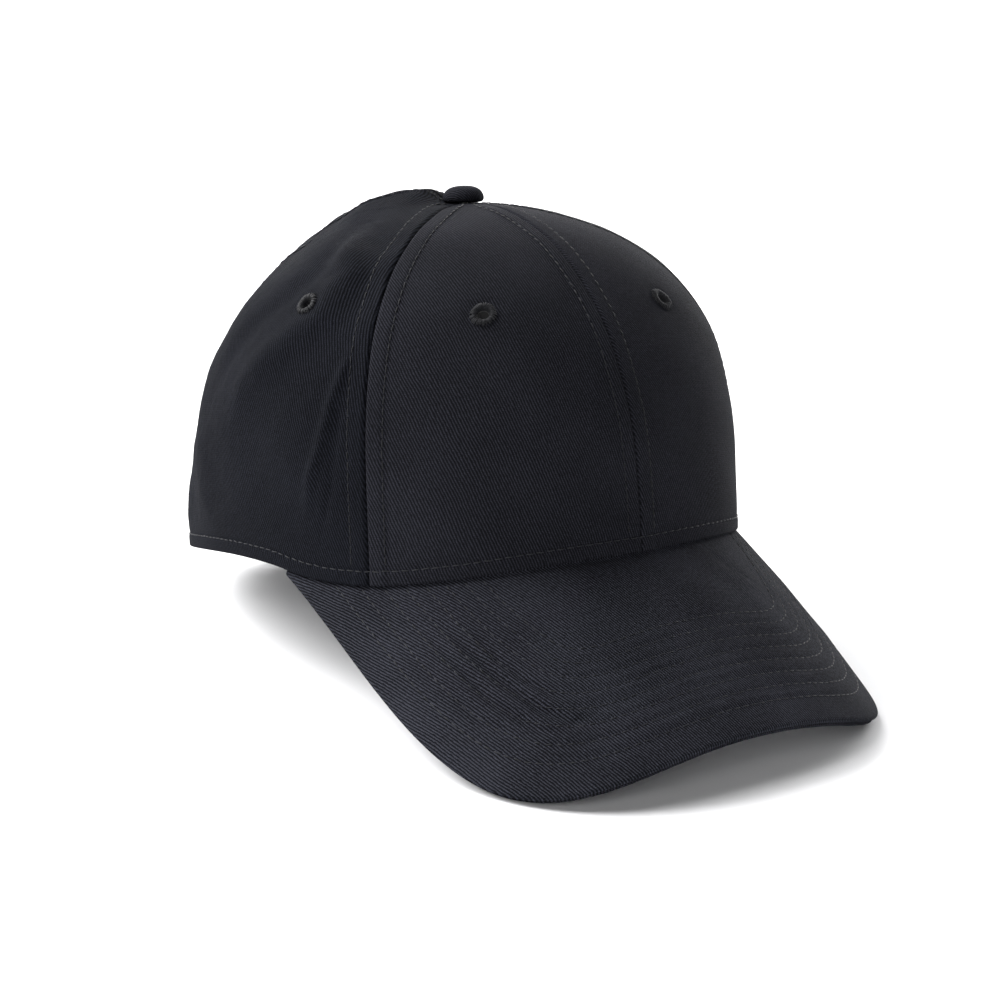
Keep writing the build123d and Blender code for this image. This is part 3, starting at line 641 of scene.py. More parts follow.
def twill(name, mean, tint=CLOTH_TINT, contrast=0.85, depth=0.16, lint=True):
    """Cotton twill: diagonal wales with broken floats, uneven yarn, faint fading and stray lint, with painted
    shade in the wale valleys.
    """
    n = Nodes(name)
    uv = n.node("ShaderNodeUVMap", uv_map="cloth").outputs["UV"]
    u, v = n.node("ShaderNodeSeparateXYZ", {"Vector": uv}).outputs[:2]
    wobble = n.math("SUBTRACT", n.noise(uv, 0.06, 2.0), 0.5)
    jitter = n.math("SUBTRACT", n.noise(uv, 0.9, 2.0), 0.5)
    s, c = math.sin(math.radians(WALE_ANGLE)), math.cos(math.radians(WALE_ANGLE))
    across = n.math("SUBTRACT", n.math("MULTIPLY", u, s), n.math("MULTIPLY", v, c))
    across = n.math("ADD", across, n.math("MULTIPLY", wobble, 1.6))
    across = n.math("ADD", across, n.math("MULTIPLY", jitter, 0.42))
    along = n.math("ADD", n.math("MULTIPLY", u, c), n.math("MULTIPLY", v, s))
    phase = n.math("MULTIPLY", across, 2 * math.pi / WALE_PITCH)
    wale = n.math("MULTIPLY_ADD", n.math("SINE", phase), 0.5, 0.5)
    float_phase = n.math("ADD", n.math("MULTIPLY", along, 2 * math.pi / 0.62), n.math("MULTIPLY", phase, 0.5))
    floats = n.math("MULTIPLY_ADD", n.math("SINE", float_phase), 0.5, 0.5)
    yarn = n.noise(uv, 3.2, 3.0, 0.7)
    slub = n.noise(uv, 0.9, 3.0, 0.7)
    weave = n.math("MULTIPLY", wale, n.math("MULTIPLY_ADD", floats, 0.35, 0.65))
    weave = n.math("MULTIPLY", weave, n.math("MULTIPLY_ADD", slub, 1.9, 0.05))
    weave = n.math("ADD", n.math("MULTIPLY", weave, 0.8), n.math("MULTIPLY", yarn, 0.4))
    fade = n.noise(uv, 0.03, 4.0)
    faded = n.math("MULTIPLY", n.math("SUBTRACT", fade, 0.5), 0.45)
    tone = n.math("ADD", n.math("MULTIPLY", weave, 0.85), faded)
    tone = n.math("ADD", tone, n.math("MULTIPLY", n.math("SUBTRACT", yarn, 0.5), 0.6))
    # The colour follows the weave's height: painted shade in the wale valleys and a painted highlight on the
    # wale tops, over the real yarn tone and fading.
    colour = n.ramp(tone, (0.26, tinted((1 - contrast) * mean, tint)),
                    (0.95, tinted((1 + 3 * contrast) * mean, tint)))
    if lint:
        fluff = n.noise(uv, 1.15, 4.0, 0.75)
        speck = n.math("MULTIPLY", n.math("GREATER_THAN", fluff, 0.745), 0.35)
        mix = n.node("ShaderNodeMix", data_type="RGBA")
        n.set(mix.inputs["Factor"], speck)
        n.set(mix.inputs["A"], colour)
        n.set(mix.inputs["B"], (*tinted(mean * 9.0, tint), 1))
        colour = mix.outputs["Result"]
    rough = n.grey(yarn, (0.3, 0.82), (0.7, 0.98))
    return n.finish(Base_Color=colour, Roughness=rough, Specular_IOR_Level=0.04,
                    Normal=n.bump(weave, depth * MM, 1.0))


def plain_weave(name, dark, light, pitch, tint=(1, 1, 1), rough=0.9, depth=0.1, sheen=0.15):
    """A plain weave laid out in the cloth's own coordinates: tapes, sweatband and satin."""
    n = Nodes(name)
    uv = n.node("ShaderNodeUVMap", uv_map="cloth").outputs["UV"]
    u, v = n.node("ShaderNodeSeparateXYZ", {"Vector": uv}).outputs[:2]
    wander = n.math("MULTIPLY", n.math("SUBTRACT", n.noise(uv, 0.5, 2.0), 0.5), 0.5 * pitch)
    warp = n.math("SINE", n.math("MULTIPLY", n.math("ADD", u, wander), 2 * math.pi / pitch))
    weft = n.math("SINE", n.math("MULTIPLY", n.math("ADD", v, wander), 2 * math.pi / pitch))
    crossing = n.math("MULTIPLY", warp, weft)
    weave = n.math("MULTIPLY_ADD", crossing, 0.35, 0.5)
    yarn = n.noise(uv, 1.8, 3.0, 0.6)
    fade = n.noise(uv, 0.05, 3.0)
    tone = n.math("ADD", n.math("MULTIPLY", weave, 0.6), n.math("MULTIPLY", yarn, 0.3))
    tone = n.math("ADD", tone, n.math("MULTIPLY", n.math("SUBTRACT", fade, 0.5), 0.35))
    colour = n.ramp(tone, (0.15, tinted(dark, tint)), (0.85, tinted(light, tint)))
    return n.finish(Base_Color=colour, Roughness=n.grey(yarn, (0.3, rough - 0.1), (0.7, rough)),
                    Specular_IOR_Level=0.3, Sheen_Weight=sheen, Sheen_Roughness=0.5,
                    Normal=n.bump(weave, depth * MM, 0.9))


def thread(name, dark, light, tint=CLOTH_TINT, rough=0.6):
    """Twisted polyester thread: fine diagonal plies and uneven dye, measured in the row frame."""
    n = Nodes(name)
    place = n.node("ShaderNodeTexCoord").outputs["Object"]
    ply = n.noise(place, 1400.0, 2.0, 0.6)
    patch = n.noise(place, 90.0, 2.0)
    tone = n.math("ADD", n.math("MULTIPLY", ply, 0.7), n.math("MULTIPLY", patch, 0.3))
    colour = n.ramp(tone, (0.3, tinted(dark, tint)), (0.75, tinted(light, tint)))
    return n.finish(Base_Color=colour, Roughness=rough, Specular_IOR_Level=0.25, Sheen_Weight=0.05,
                    Sheen_Roughness=0.4, Normal=n.bump(ply, 0.05 * MM, 0.8))


def brushed_metal(name, colour, rough=0.3, scratch=(60.0, 60.0, 2600.0), depth=0.004):
    """Plated metal with fine brushing, faint stains and worn, brighter spots."""
    n = Nodes(name)
    place = n.node("ShaderNodeTexCoord").outputs["Object"]
    stretched = n.node("ShaderNodeMapping", {"Vector": place, "Scale": scratch}).outputs[0]
    lines = n.noise(stretched, 1.0, 3.0, 0.6)
    stain = n.noise(place, 160.0, 3.0)
    tone = n.math("ADD", n.math("MULTIPLY", lines, 0.4), n.math("MULTIPLY", stain, 0.6))
    base = n.ramp(tone, (0.3, tuple(0.72 * c for c in colour)), (0.7, colour))
    return n.finish(Base_Color=base, Metallic=1.0, Roughness=n.grey(tone, (0.3, rough + 0.14), (0.7, rough)),
                    Normal=n.bump(lines, depth * MM, 0.7))


def moulded_plastic(name, dark, light):
    n = Nodes(name)
    place = n.node("ShaderNodeTexCoord").outputs["Object"]
    grain = n.noise(place, 900.0, 3.0, 0.6)
    cloud = n.noise(place, 40.0, 3.0)
    colour = n.ramp(cloud, (0.3, dark), (0.7, light))
    return n.finish(Base_Color=colour, Roughness=n.grey(grain, (0.3, 0.42), (0.7, 0.58)),
                    Normal=n.bump(grain, 0.03 * MM, 0.5))


def foam(name, dark, light):
    n = Nodes(name)
    place = n.node("ShaderNodeTexCoord").outputs["Object"]
    cells = n.node("ShaderNodeTexVoronoi", {"Vector": place, "Scale": 1100.0}).outputs["Distance"]
    colour = n.ramp(cells, (0.1, dark), (0.6, light))
    return n.finish(Base_Color=colour, Roughness=0.95, Specular_IOR_Level=0.2,
                    Normal=n.bump(cells, 0.25 * MM, 0.8))


def open_mesh(name, dark, light):
    """Stiff buckram: an open, glued gauze with square gaps shown as dark pits."""
    n = Nodes(name)
    uv = n.node("ShaderNodeUVMap", uv_map="cloth").outputs["UV"]
    u, v = n.node("ShaderNodeSeparateXYZ", {"Vector": uv}).outputs[:2]
    warp = n.math("ABSOLUTE", n.math("SINE", n.math("MULTIPLY", u, math.pi / 1.5)))
    weft = n.math("ABSOLUTE", n.math("SINE", n.math("MULTIPLY", v, math.pi / 1.5)))
    pit = n.math("MULTIPLY", warp, weft)
    glue = n.noise(uv, 0.8, 3.0)
    height = n.math("SUBTRACT", n.math("MULTIPLY", glue, 0.3), pit)
    colour = n.ramp(n.math("SUBTRACT", pit, n.math("MULTIPLY", glue, 0.3)), (0.1, light), (0.75, dark))
    return n.finish(Base_Color=colour, Roughness=0.8, Specular_IOR_Level=0.3,
                    Normal=n.bump(height, 0.2 * MM, 0.9))


BLACK_TWILL = twill("black_twill", 0.0116, (0.95, 0.975, 1.26), 0.58)
# The same twill as the front panels, painted about half as bright and a little bluer: painted shade for the
# crown's sides, which catch less light. The buckle loop wears it too.
SHADED_SIDE_TWILL = twill("side_twill_painted_shade", 0.0062, (0.92, 1.0, 1.38), 0.62)
# The visor's top is the same twill painted lighter: painted light standing in for the sheen and the stronger
# light on the visor's upward-facing top.
LIT_VISOR_TWILL = twill("visor_twill_painted_light", 0.0155, contrast=0.75)
UNDER_TWILL = twill("under_twill", 0.011, lint=False)
THREAD = thread("sewing_thread", 0.006, 0.017)
SEAM_THREAD = thread("seam_thread", 0.004, 0.011)
EMBROIDERY = thread("embroidery", 0.004, 0.012, rough=0.7)
BUCKRAM = open_mesh("buckram", (0.01, 0.01, 0.011), (0.075, 0.076, 0.08))
SEAM_TAPE = plain_weave("seam_tape", 0.006, 0.026, 0.9)
SWEATBAND = plain_weave("sweatband_cotton", 0.006, 0.028, 1.0)
SATIN = plain_weave("label_satin", 0.55, 0.8, 0.45, tint=(1, 0.99, 0.96), rough=0.45, depth=0.03)
FOAM = foam("foam", (0.35, 0.34, 0.31), (0.62, 0.6, 0.56))
PLASTIC = moulded_plastic("visor_plastic", (0.55, 0.56, 0.55), (0.72, 0.73, 0.71))
BUTTON_STEEL = brushed_metal("button_steel", (0.62, 0.62, 0.6), 0.35)
CLASP_METAL = brushed_metal("clasp_metal", (0.3, 0.285, 0.26), 0.3)


# ---------------------------------------------------------------- crown panels

def clear_of_eyelets(angle, climb, hole=2.5):
    """Cells of a grid whose middle isn't inside an eyelet."""
    a = (angle[:-1, :-1] + angle[1:, 1:]) / 2
    c = (climb[:-1, :-1] + climb[1:, 1:]) / 2
    radius = spin_radius(a, c)
    keep = np.ones(a.shape, bool)
    for place, height in eyelet_places():
        keep &= np.hypot(wrapped(a - place) * radius, c - height) > hole
    return keep


def panel_grid(first, last):
    """Angles and climbs of a panel between two seam angles, finer beside the seams and the hem."""
    start, stop = math.radians(first), math.radians(last)
    width = (stop - start) * PANEL_RADIUS
    fine = ((0, *SEAM_FINE), (width, *SEAM_FINE), (SEAM_STITCH_OFFSET, *STITCH_FINE),
            (width - SEAM_STITCH_OFFSET, *STITCH_FINE))
    share = even_samples(0, width, 1.15, fine) / width
    top = full_climb((start + stop) / 2)
    rise = even_samples(0, top, 1.15, ((0, 5, 0.14), (HEM_STITCH_CLIMB, 4, 0.35), (top, 10, 0.5))) / top
    share, rise = np.meshgrid(share, rise)
    angle = start + (stop - start) * share
    for _ in range(3):
        climb = rise * full_climb(angle)
        inset = SEAM_GAP / 2 / spin_radius(angle, climb)
        angle = start + inset + (stop - start - 2 * inset) * share
    return angle, rise * full_climb(angle)


def opening_edge(count=420):
    """(angle, climb) along the opening's edge on the left side, from the hem corner to the top middle."""
    t = np.linspace(0, math.pi / 2, count)
    arch_x, arch_z = OPENING_HALF_WIDTH * np.cos(t), OPENING_STRAIGHT + OPENING_ARCH * np.sin(t)
    side_z = np.linspace(0, OPENING_STRAIGHT, 60)[:-1]
    x = np.concatenate([np.full(len(side_z), OPENING_HALF_WIDTH), arch_x])
    z = np.concatenate([side_z, arch_z])
    angles = np.radians(np.linspace(140, 180, 321))
    climbs = np.linspace(0, 75, 301)
    grid = lookup(CROWN_POINTS, angles[:, None], climbs[None])
    found_angle, found_climb = np.empty(len(x)), np.empty(len(x))
    for k in range(len(x)):
        height = np.array([np.interp(z[k], g[:, 2], climbs) for g in grid])
        across = np.array([np.interp(h, climbs, g[:, 0]) for h, g in zip(height, grid)])
        found_angle[k] = np.interp(-x[k], -across, angles)
        found_climb[k] = np.interp(found_angle[k], angles, height)
    found_angle[-1] = math.pi
    found_climb[0] = 0.0
    apart = np.hypot(np.diff(found_angle), np.diff(found_climb) / BACK_RADIUS)
    fresh = np.concatenate([[True], apart > 1e-5])
    fresh[-1] = True
    return found_angle[fresh], found_climb[fresh]


def back_panel_grid(edge):
    """The left back panel: its lower side follows the hem, then the opening's edge."""
    corner, seam = edge[0][0], math.radians(BACK_SEAM)
    hem_length = 30
    finer = ((0, *SEAM_FINE), (SEAM_STITCH_OFFSET, *STITCH_FINE), (hem_length, 4, 0.4))
    hem = seam + (corner - seam) * even_samples(0, hem_length, 1.1, finer) / hem_length
    steps = np.hypot(np.diff(edge[0]) * BACK_RADIUS, np.diff(edge[1]))
    measured = np.concatenate([[0], np.cumsum(steps)])
    total = measured[-1]
    finer = ((0, 4, 0.4), (total, *SEAM_FINE), (total - SEAM_STITCH_OFFSET, *STITCH_FINE))
    at = even_samples(0, total, 1.0, finer)
    low_angle = np.concatenate([hem[:-1], np.interp(at, measured, edge[0])])
    low_climb = np.concatenate([np.zeros(len(hem) - 1), np.interp(at, measured, edge[1])])
    lean = math.radians(5.0) * smooth((hem[:-1] - seam) / (corner - seam))
    ease = math.radians(5.0) * (1 - smooth(at / (2.2 * OPENING_STRAIGHT)))
    high_angle = low_angle - np.concatenate([lean, ease])
    top = 125.0
    t = even_samples(0, top, 1.15, ((0, 5, 0.14), (5, 3, 0.4), (top, 10, 0.5)))[:, None] / top
    angle = low_angle + (high_angle - low_angle) * smooth(t * 1.6)
    for _ in range(3):
        full = full_climb(angle)
        climb = low_climb + (full - low_climb) * t
        inset = SEAM_GAP / 2 / spin_radius(angle, climb)
        angle = np.clip(angle, seam + inset, math.pi - inset)
    return angle, low_climb + (full_climb(angle) - low_climb) * t


def panel(name, angle, climb, middle):
    height = relief(angle, climb)
    distance = seam_distance(angle, climb)
    thick = TWILL + 0.35 * bump(distance, 2.5)
    core = np.maximum(height, -0.75 + soft_folds(angle, climb)) - thick
    outer, inner = crown(angle, climb, height), crown(angle, climb, core)
    uv = flat(angle, climb, middle)
    mesh = shell_mesh(name, outer, inner, uv, clear_of_eyelets(angle, climb))
    # Front panels take the plain twill; side and back panels take the copy with painted shade.
    return link(name, mesh, BLACK_TWILL if name.startswith("front") else SHADED_SIDE_TWILL)


def crown_panels():
    for name, first, last in (("front_panel_left", 0, FRONT_SEAM), ("front_panel_right", -FRONT_SEAM, 0),
                              ("side_panel_left", FRONT_SEAM, BACK_SEAM),
                              ("side_panel_right", -BACK_SEAM, -FRONT_SEAM)):
        angle, climb = panel_grid(first, last)
        made = panel(name + "_cloth", angle, climb, math.radians((first + last) / 2))
        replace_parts(made, name)
    edge = opening_edge()
    angle, climb = back_panel_grid(edge)
    middle = math.radians((BACK_SEAM + 180) / 2)
    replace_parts(panel("back_panel_left_cloth", angle, climb, middle), "back_panel_left")
    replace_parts(panel("back_panel_right_cloth", -angle[:, ::-1], climb[:, ::-1], -middle), "back_panel_right")
    return edge


def seam_stitching(edge):
    """Topstitching on both sides of each seam, round the hem and round the back opening."""
    for seam in SEAMS:
        angle = math.radians(seam)
        low = edge[1][-1] + 8 if seam == 180.0 else HEM_STITCH_CLIMB + 1.5
        climb = np.linspace(low, full_climb(angle) - 6.0, 200)
        rows = []
        for side in (-1, 1):
            offset = SEAM_STITCH_OFFSET * np.minimum(1, (full_climb(angle) - climb + 2) / 15)
            rows.append(on_crown(angle + side * offset / spin_radius(angle, climb), climb, 0.05))
        end = "front_" if abs(seam) == FRONT_SEAM else "back_"
        label = {0.0: "front", 180.0: "back"}.get(seam, end + ("left" if seam > 0 else "right"))
        stitched("topstitch_seam_" + label, rows, SEAM_THREAD, seed=int(abs(seam)) + 3)
    corner = edge[0][0]
    turn = np.linspace(-corner + 0.07, corner - 0.07, 1200)
    stitched("topstitch_hem", [on_crown(turn, np.full(turn.shape, HEM_STITCH_CLIMB), 0.05)], THREAD, seed=21)
    angle, climb = both_sides(*offset_from_opening(edge, OPENING_STITCH))
    keep = climb > HEM_STITCH_CLIMB - 0.5
    stitched("topstitch_opening", [on_crown(angle[keep], climb[keep], 0.05)], THREAD, seed=22)


def both_sides(angle, climb):
    """A line up the left of the opening, carried on down its right side."""
    return np.concatenate([angle, 2 * math.pi - angle[::-1][1:]]), np.concatenate([climb, climb[::-1][1:]])


def offset_from_opening(edge, distance):
    """The opening's edge moved outward on the cloth, as (angle, climb)."""
    radius = spin_radius(*edge)
    u, v = (edge[0] - math.pi) * radius, edge[1]
    du, dv = np.gradient(u), np.gradient(v)
    length = np.hypot(du, dv) + 1e-9
    u2, v2 = u - distance * dv / length, v + distance * du / length
    angle = math.pi + u2 / spin_radius(math.pi + u2 / radius, v2)
    angle[-1] = math.pi
    return angle, np.maximum(v2, 0)


# ---------------------------------------------------------------- embroidered eyelets

def eyelets():
    """Satin stitch rings: radial threads over a padded ring, with a dark, ragged hole edge."""
    rng = np.random.default_rng(5)
    strands, stops, sides = 46, np.linspace(0, 1, 9), 5
    turn = np.arange(sides) / sides * 2 * math.pi
    quads, first, last = tube_faces(len(stops), sides)
    points, faces, caps, base = [], [], [], 0
    for centre, height in eyelet_places():
        for k in range(strands):
            around = 2 * math.pi * (k + rng.uniform(-0.25, 0.25)) / strands
            skew = rng.normal(0, 0.05)
            inner = EYELET_HOLE_RADIUS * rng.uniform(0.9, 1.02)
            outer = EYELET_RADIUS * rng.uniform(0.96, 1.04)
            r = inner + (outer - inner) * stops
            direction = around + skew * stops
            u, v = r * np.cos(direction), r * np.sin(direction)
            radius = spin_radius(centre, height)
            a, c = centre + u / radius, height + v
            rise = 0.95 * np.sin(stops * math.pi) ** 0.6 - 0.55 * (stops < 0.02) - 0.35 * (stops > 0.98)
            rise = rise * rng.uniform(0.9, 1.08) - 0.15
            p = crown(a, c, relief(a, c) + rise)
            up = rested_direction(crown_normal(a, c))
            tangent = np.gradient(p, axis=0)
            tangent /= np.linalg.norm(tangent, axis=1, keepdims=True)
            side = np.cross(tangent, up)
            thick = 0.17 + 0.13 * stops
            sideways = side[:, None] * np.cos(turn)[None, :, None]
            ring = sideways + up[:, None] * np.sin(turn)[None, :, None] * 0.8
            points.append((p[:, None] + ring * thick[:, None, None]).reshape(-1, 3))
            faces.append(quads + base)
            caps.append(np.concatenate([first, last]) + base)
            base += len(stops) * sides
        lining_p, lining_f = eyelet_lining(centre, height, base)
        points.append(lining_p)
        faces.append(lining_f)
        base += len(lining_p)
    mesh = mesh_of("eyelet_embroidery", np.concatenate(points), [np.concatenate(faces), np.concatenate(caps)])
    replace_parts(link("eyelet_embroidery", mesh, EMBROIDERY), "eyelets")


def eyelet_lining(centre, height, base, around=40):
    """The bound wall of the hole, from the ring's crest down through the cloth and out underneath."""
    profile = ((2.9, 0.62), (2.2, 0.5), (1.86, 0.1), (1.8, -0.6), (1.86, -1.3), (2.3, -1.62), (3.3, -1.5),
               (3.5, -0.9), (3.3, -0.2), (2.9, 0.3))
    turn = np.arange(around) / around * 2 * math.pi
    radius = spin_radius(centre, height)
    rings = []
    for r, rise in profile:
        a, c = centre + r * np.cos(turn) / radius, height + r * np.sin(turn)
        rings.append(crown(a, c, relief(a, c) + rise))
    index = np.arange(len(profile) * around).reshape(len(profile), around)
    after = np.roll(index, -1, axis=1)
    down, after_down = np.roll(index, -1, axis=0), np.roll(after, -1, axis=0)
    faces = np.stack([index, after, after_down, down], axis=-1).reshape(-1, 4)
    return np.concatenate(rings), faces + base


# ---------------------------------------------------------------- button

def button_frame():
    """The button's foot, the way it points, and the way to the back of the cap across it."""
    lean = math.radians(RESTING_LEAN)
    origin = rested(np.array([0.0, TOP_Y, CROWN_HEIGHT]))
    up = np.array([0, math.sin(lean), math.cos(lean)])
    return origin, up, np.array([0, math.cos(lean), -math.sin(lean)])


def button_cover():
    """Twill pulled over the button's metal shell, gathered in under its rim."""
    profile = ((0.0, 1.0), (0.24, 0.992), (0.47, 0.95), (0.68, 0.865), (0.84, 0.73), (0.94, 0.56),
               (0.99, 0.4), (0.995, 0.25), (0.95, 0.125), (0.84, 0.046), (0.68, 0.025), (0.52, 0.029))
    knots = np.array(profile) * (BUTTON_RADIUS, BUTTON_HEIGHT)
    measured = np.concatenate([[0], np.cumsum(np.hypot(*np.diff(knots, axis=0).T))])
    at = even_samples(0, measured[-1], 0.28)
    r, z = np.interp(at, measured, knots[:, 0]), np.interp(at, measured, knots[:, 1])
    for _ in range(6):
        r[1:-1] = (r[:-2] + 2 * r[1:-1] + r[2:]) / 4
        z[1:-1] = (z[:-2] + 2 * z[1:-1] + z[2:]) / 4
    around = 120
    turn = np.arange(around + 1) / around * 2 * math.pi
    gather = smooth((at - measured[5]) / 4)[:, None]
    pleat = 1 + 0.03 * gather * np.sin(turn * 14 + 1.3 * np.sin(turn * 3))[None]
    uneven = 1 + 0.012 * np.sin(turn * 2 + 0.7) + 0.008 * np.sin(turn * 3)
    radial = np.maximum(r, 0.001)[:, None] * pleat * uneven[None]
    origin, up, backward = button_frame()
    across = np.array([1.0, 0, 0])
    lift = z[:, None] + 0.05 * np.sin(turn * 2)[None] * (r / BUTTON_RADIUS)[:, None]

    def skin(radial, lift):
        spoke = across * np.cos(turn)[None, :, None] + backward * np.sin(turn)[None, :, None]
        return origin + radial[..., None] * spoke + lift[..., None] * up

    outer = skin(radial, lift)
    slope_r, slope_z = np.gradient(r), np.gradient(z)
    length = np.hypot(slope_r, slope_z)
    inner = skin(np.maximum(radial - 0.55 * (-slope_z / length)[:, None], 0.001),
                 lift - 0.55 * (slope_r / length)[:, None])
    uv = np.stack([at[:, None] * np.cos(turn)[None], at[:, None] * np.sin(turn)[None]], axis=-1)
    mesh = shell_mesh("button_twill", outer[::-1], inner[::-1], uv[::-1])
    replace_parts(link("button_twill", mesh, BLACK_TWILL), "button_cover")


# ---------------------------------------------------------------- visor

def visor_edge_table():
    end = math.radians(VISOR_END_ANGLE)
    side_x, side_y = hem_outline(end)
    swing = np.sin(np.linspace(-1, 1, 6001) * math.pi / 2) * math.pi / 2
    across, forward = np.sin(swing), np.cos(swing)
    p, q = VISOR_CORNER_POWERS
    x = side_x * np.sign(across) * np.abs(across) ** (2 / p) + VISOR_BULGE * np.sin(2 * swing)
    y = side_y - VISOR_LENGTH * np.abs(forward) ** (2 / q)
    measured = np.concatenate([[0], np.cumsum(np.hypot(np.diff(x), np.diff(y)))])
    return measured, x, y


VISOR_EDGE = visor_edge_table()


def visor_edge(share):
    """Points and inward directions on the visor's edge, for shares of -1 (right end) to 1 (left end)."""
    measured, x, y = VISOR_EDGE
    total = measured[-1]
    at = (np.asarray(share) + 1) / 2 * total

    def read(where):
        where = np.clip(where, 0, total)
        return np.stack([np.interp(where, measured, x), np.interp(where, measured, y)], axis=-1)

    step = 1.5
    along = read(at + step) - read(at - step)
    along /= np.linalg.norm(along, axis=-1, keepdims=True)
    return read(at), np.stack([-along[..., 1], along[..., 0]], axis=-1)


def edge_distance(x, y):
    """Level-frame distance to the visor's outer edge."""
    measured, ex, ey = VISOR_EDGE
    at = np.linspace(0, measured[-1], 900)
    ex, ey = np.interp(at, measured, ex), np.interp(at, measured, ey)
    flat_x, flat_y = x.ravel(), y.ravel()
    best = np.full(flat_x.shape, 1e9)
    where = np.zeros(flat_x.shape)
    for k in range(len(at)):
        d = (flat_x - ex[k]) ** 2 + (flat_y - ey[k]) ** 2
        closer = d < best
        best = np.where(closer, d, best)
        where = np.where(closer, at[k], where)
    return np.sqrt(best).reshape(x.shape), where.reshape(x.shape)


def visor_places(x, y, depth):
    """Resting points at a depth below the visor's plain top face."""
    step = 0.5
    dx = (visor_sheet(x + step, y) - visor_sheet(x - step, y)) / (2 * step)
    dy = (visor_sheet(x, y + step) - visor_sheet(x, y - step)) / (2 * step)
    length = np.sqrt(dx * dx + dy * dy + 1)
    down = np.stack([dx, dy, -np.ones_like(dx)], axis=-1) / length[..., None]
    base = np.stack([x, y, visor_sheet(x, y) - VISOR_GAP], axis=-1)
    return rested(base + np.asarray(depth)[..., None] * down), rested_direction(-down)


GRAIN_SLOPE = 0.8            # slope of the visor's straight rulings, where its cloth is laid out flat


def visor_flat(x, y):
    """Flat-pattern places of the visor's cloth, across and along its straight rulings."""
    length = math.hypot(1, GRAIN_SLOPE)
    side = np.linspace(0, 90, 901)
    bend = VISOR_BEND_POWER / 2 * (side / VISOR_BEND_RADIUS) ** (VISOR_BEND_POWER - 1)
    arc = np.concatenate([[0], np.cumsum(np.sqrt(1 + (bend[1:] / length) ** 2) * np.diff(side))])
    u = np.sign(x) * np.interp(np.abs(x), side, arc)
    return np.stack([u, (y + GRAIN_SLOPE * visor_sheet(x, y)) / length], axis=-1)


def row_pitch(along):
    """Distance between stitch rows: closer at the front, wider at the sides."""
    from_middle = np.abs(along / VISOR_EDGE[0][-1] * 2 - 1)
    return ROW_PITCH + (SIDE_ROW_PITCH - ROW_PITCH) * smooth((from_middle - 0.2) / 0.35)


PUCKER_WAVE = waves(31, 7.0)
PUCKER_DRIFT = waves(32, 30.0)

# Creases trapped between the rows as the visor was curved: level (x, y) points, width and depth
CREASES = (
    (((-64.2, -76.2), (-61.6, -90), (-58.8, -105.5), (-54.2, -119.5), (-48.8, -127.8), (-41, -131.6)),
     1.05, 1.7),
    (((-59, -84), (-56, -103.2), (-53.8, -111), (-50, -119), (-45, -127)), 0.95, 1.25),
    (((-66.7, -75), (-65.2, -93), (-62.2, -110), (-56.7, -123.5), (-49, -131.5)), 0.95, 1.2),
    (((-70, -96), (-67, -110), (-61, -121)), 0.9, 0.5),
    (((62, -88), (60, -102), (55, -117), (47, -129)), 0.8, 0.35),
    (((67, -80), (65, -97), (61, -112)), 0.8, 0.25),
)


def visor_relief(distance, along, x, y, top=True):
    """Quilting between the stitch rows, the creases among them, and small puckers along the thread."""
    phase = (distance - FIRST_ROW) / row_pitch(along)
    quilt = np.abs(np.sin(math.pi * phase)) ** 0.7
    last = VISOR_ROWS - 1
    inside = smooth(phase * 2.5) * smooth((last - phase) * 2.5)
    row = np.round(phase)
    depth = 0.24 + 0.06 * np.sin(along / 23 + row * 1.9) + 0.03 * np.sin(along / 9.1 + row * 2.7)
    out = depth * quilt * inside
    out += 0.10 * smooth((distance - 0.5) / 2.5) * (1 - smooth((distance - FIRST_ROW + 1.5) / 1.5))
    out += 0.10 * smooth((phase - last - 0.1) * 1.6)
    beads = np.cos(2 * math.pi * along / STITCH_LENGTH + row * 2.1)
    out += (0.035 * beads * bump(np.sin(math.pi * phase), 0.45)
            * smooth(phase + 0.5) * smooth(last + 0.5 - phase))
    puckers = 0.03 * PUCKER_WAVE(along * 0.4, distance * 1.3) * inside
    out += puckers + 0.08 * PUCKER_DRIFT(along, distance * 1.4)
    if not top:
        return out * 0.8
    for line, width, deep in CREASES:
        line = np.array(line, float)
        near, where = polyline_distance(x, y, line[:, 0], line[:, 1], 80)
        taper = smooth(where * 3.5) * smooth((1 - where) * 2.6)
        out += deep * taper * (0.6 * bump(near, 3.2) - 1.25 * bump(near, width))
    return out


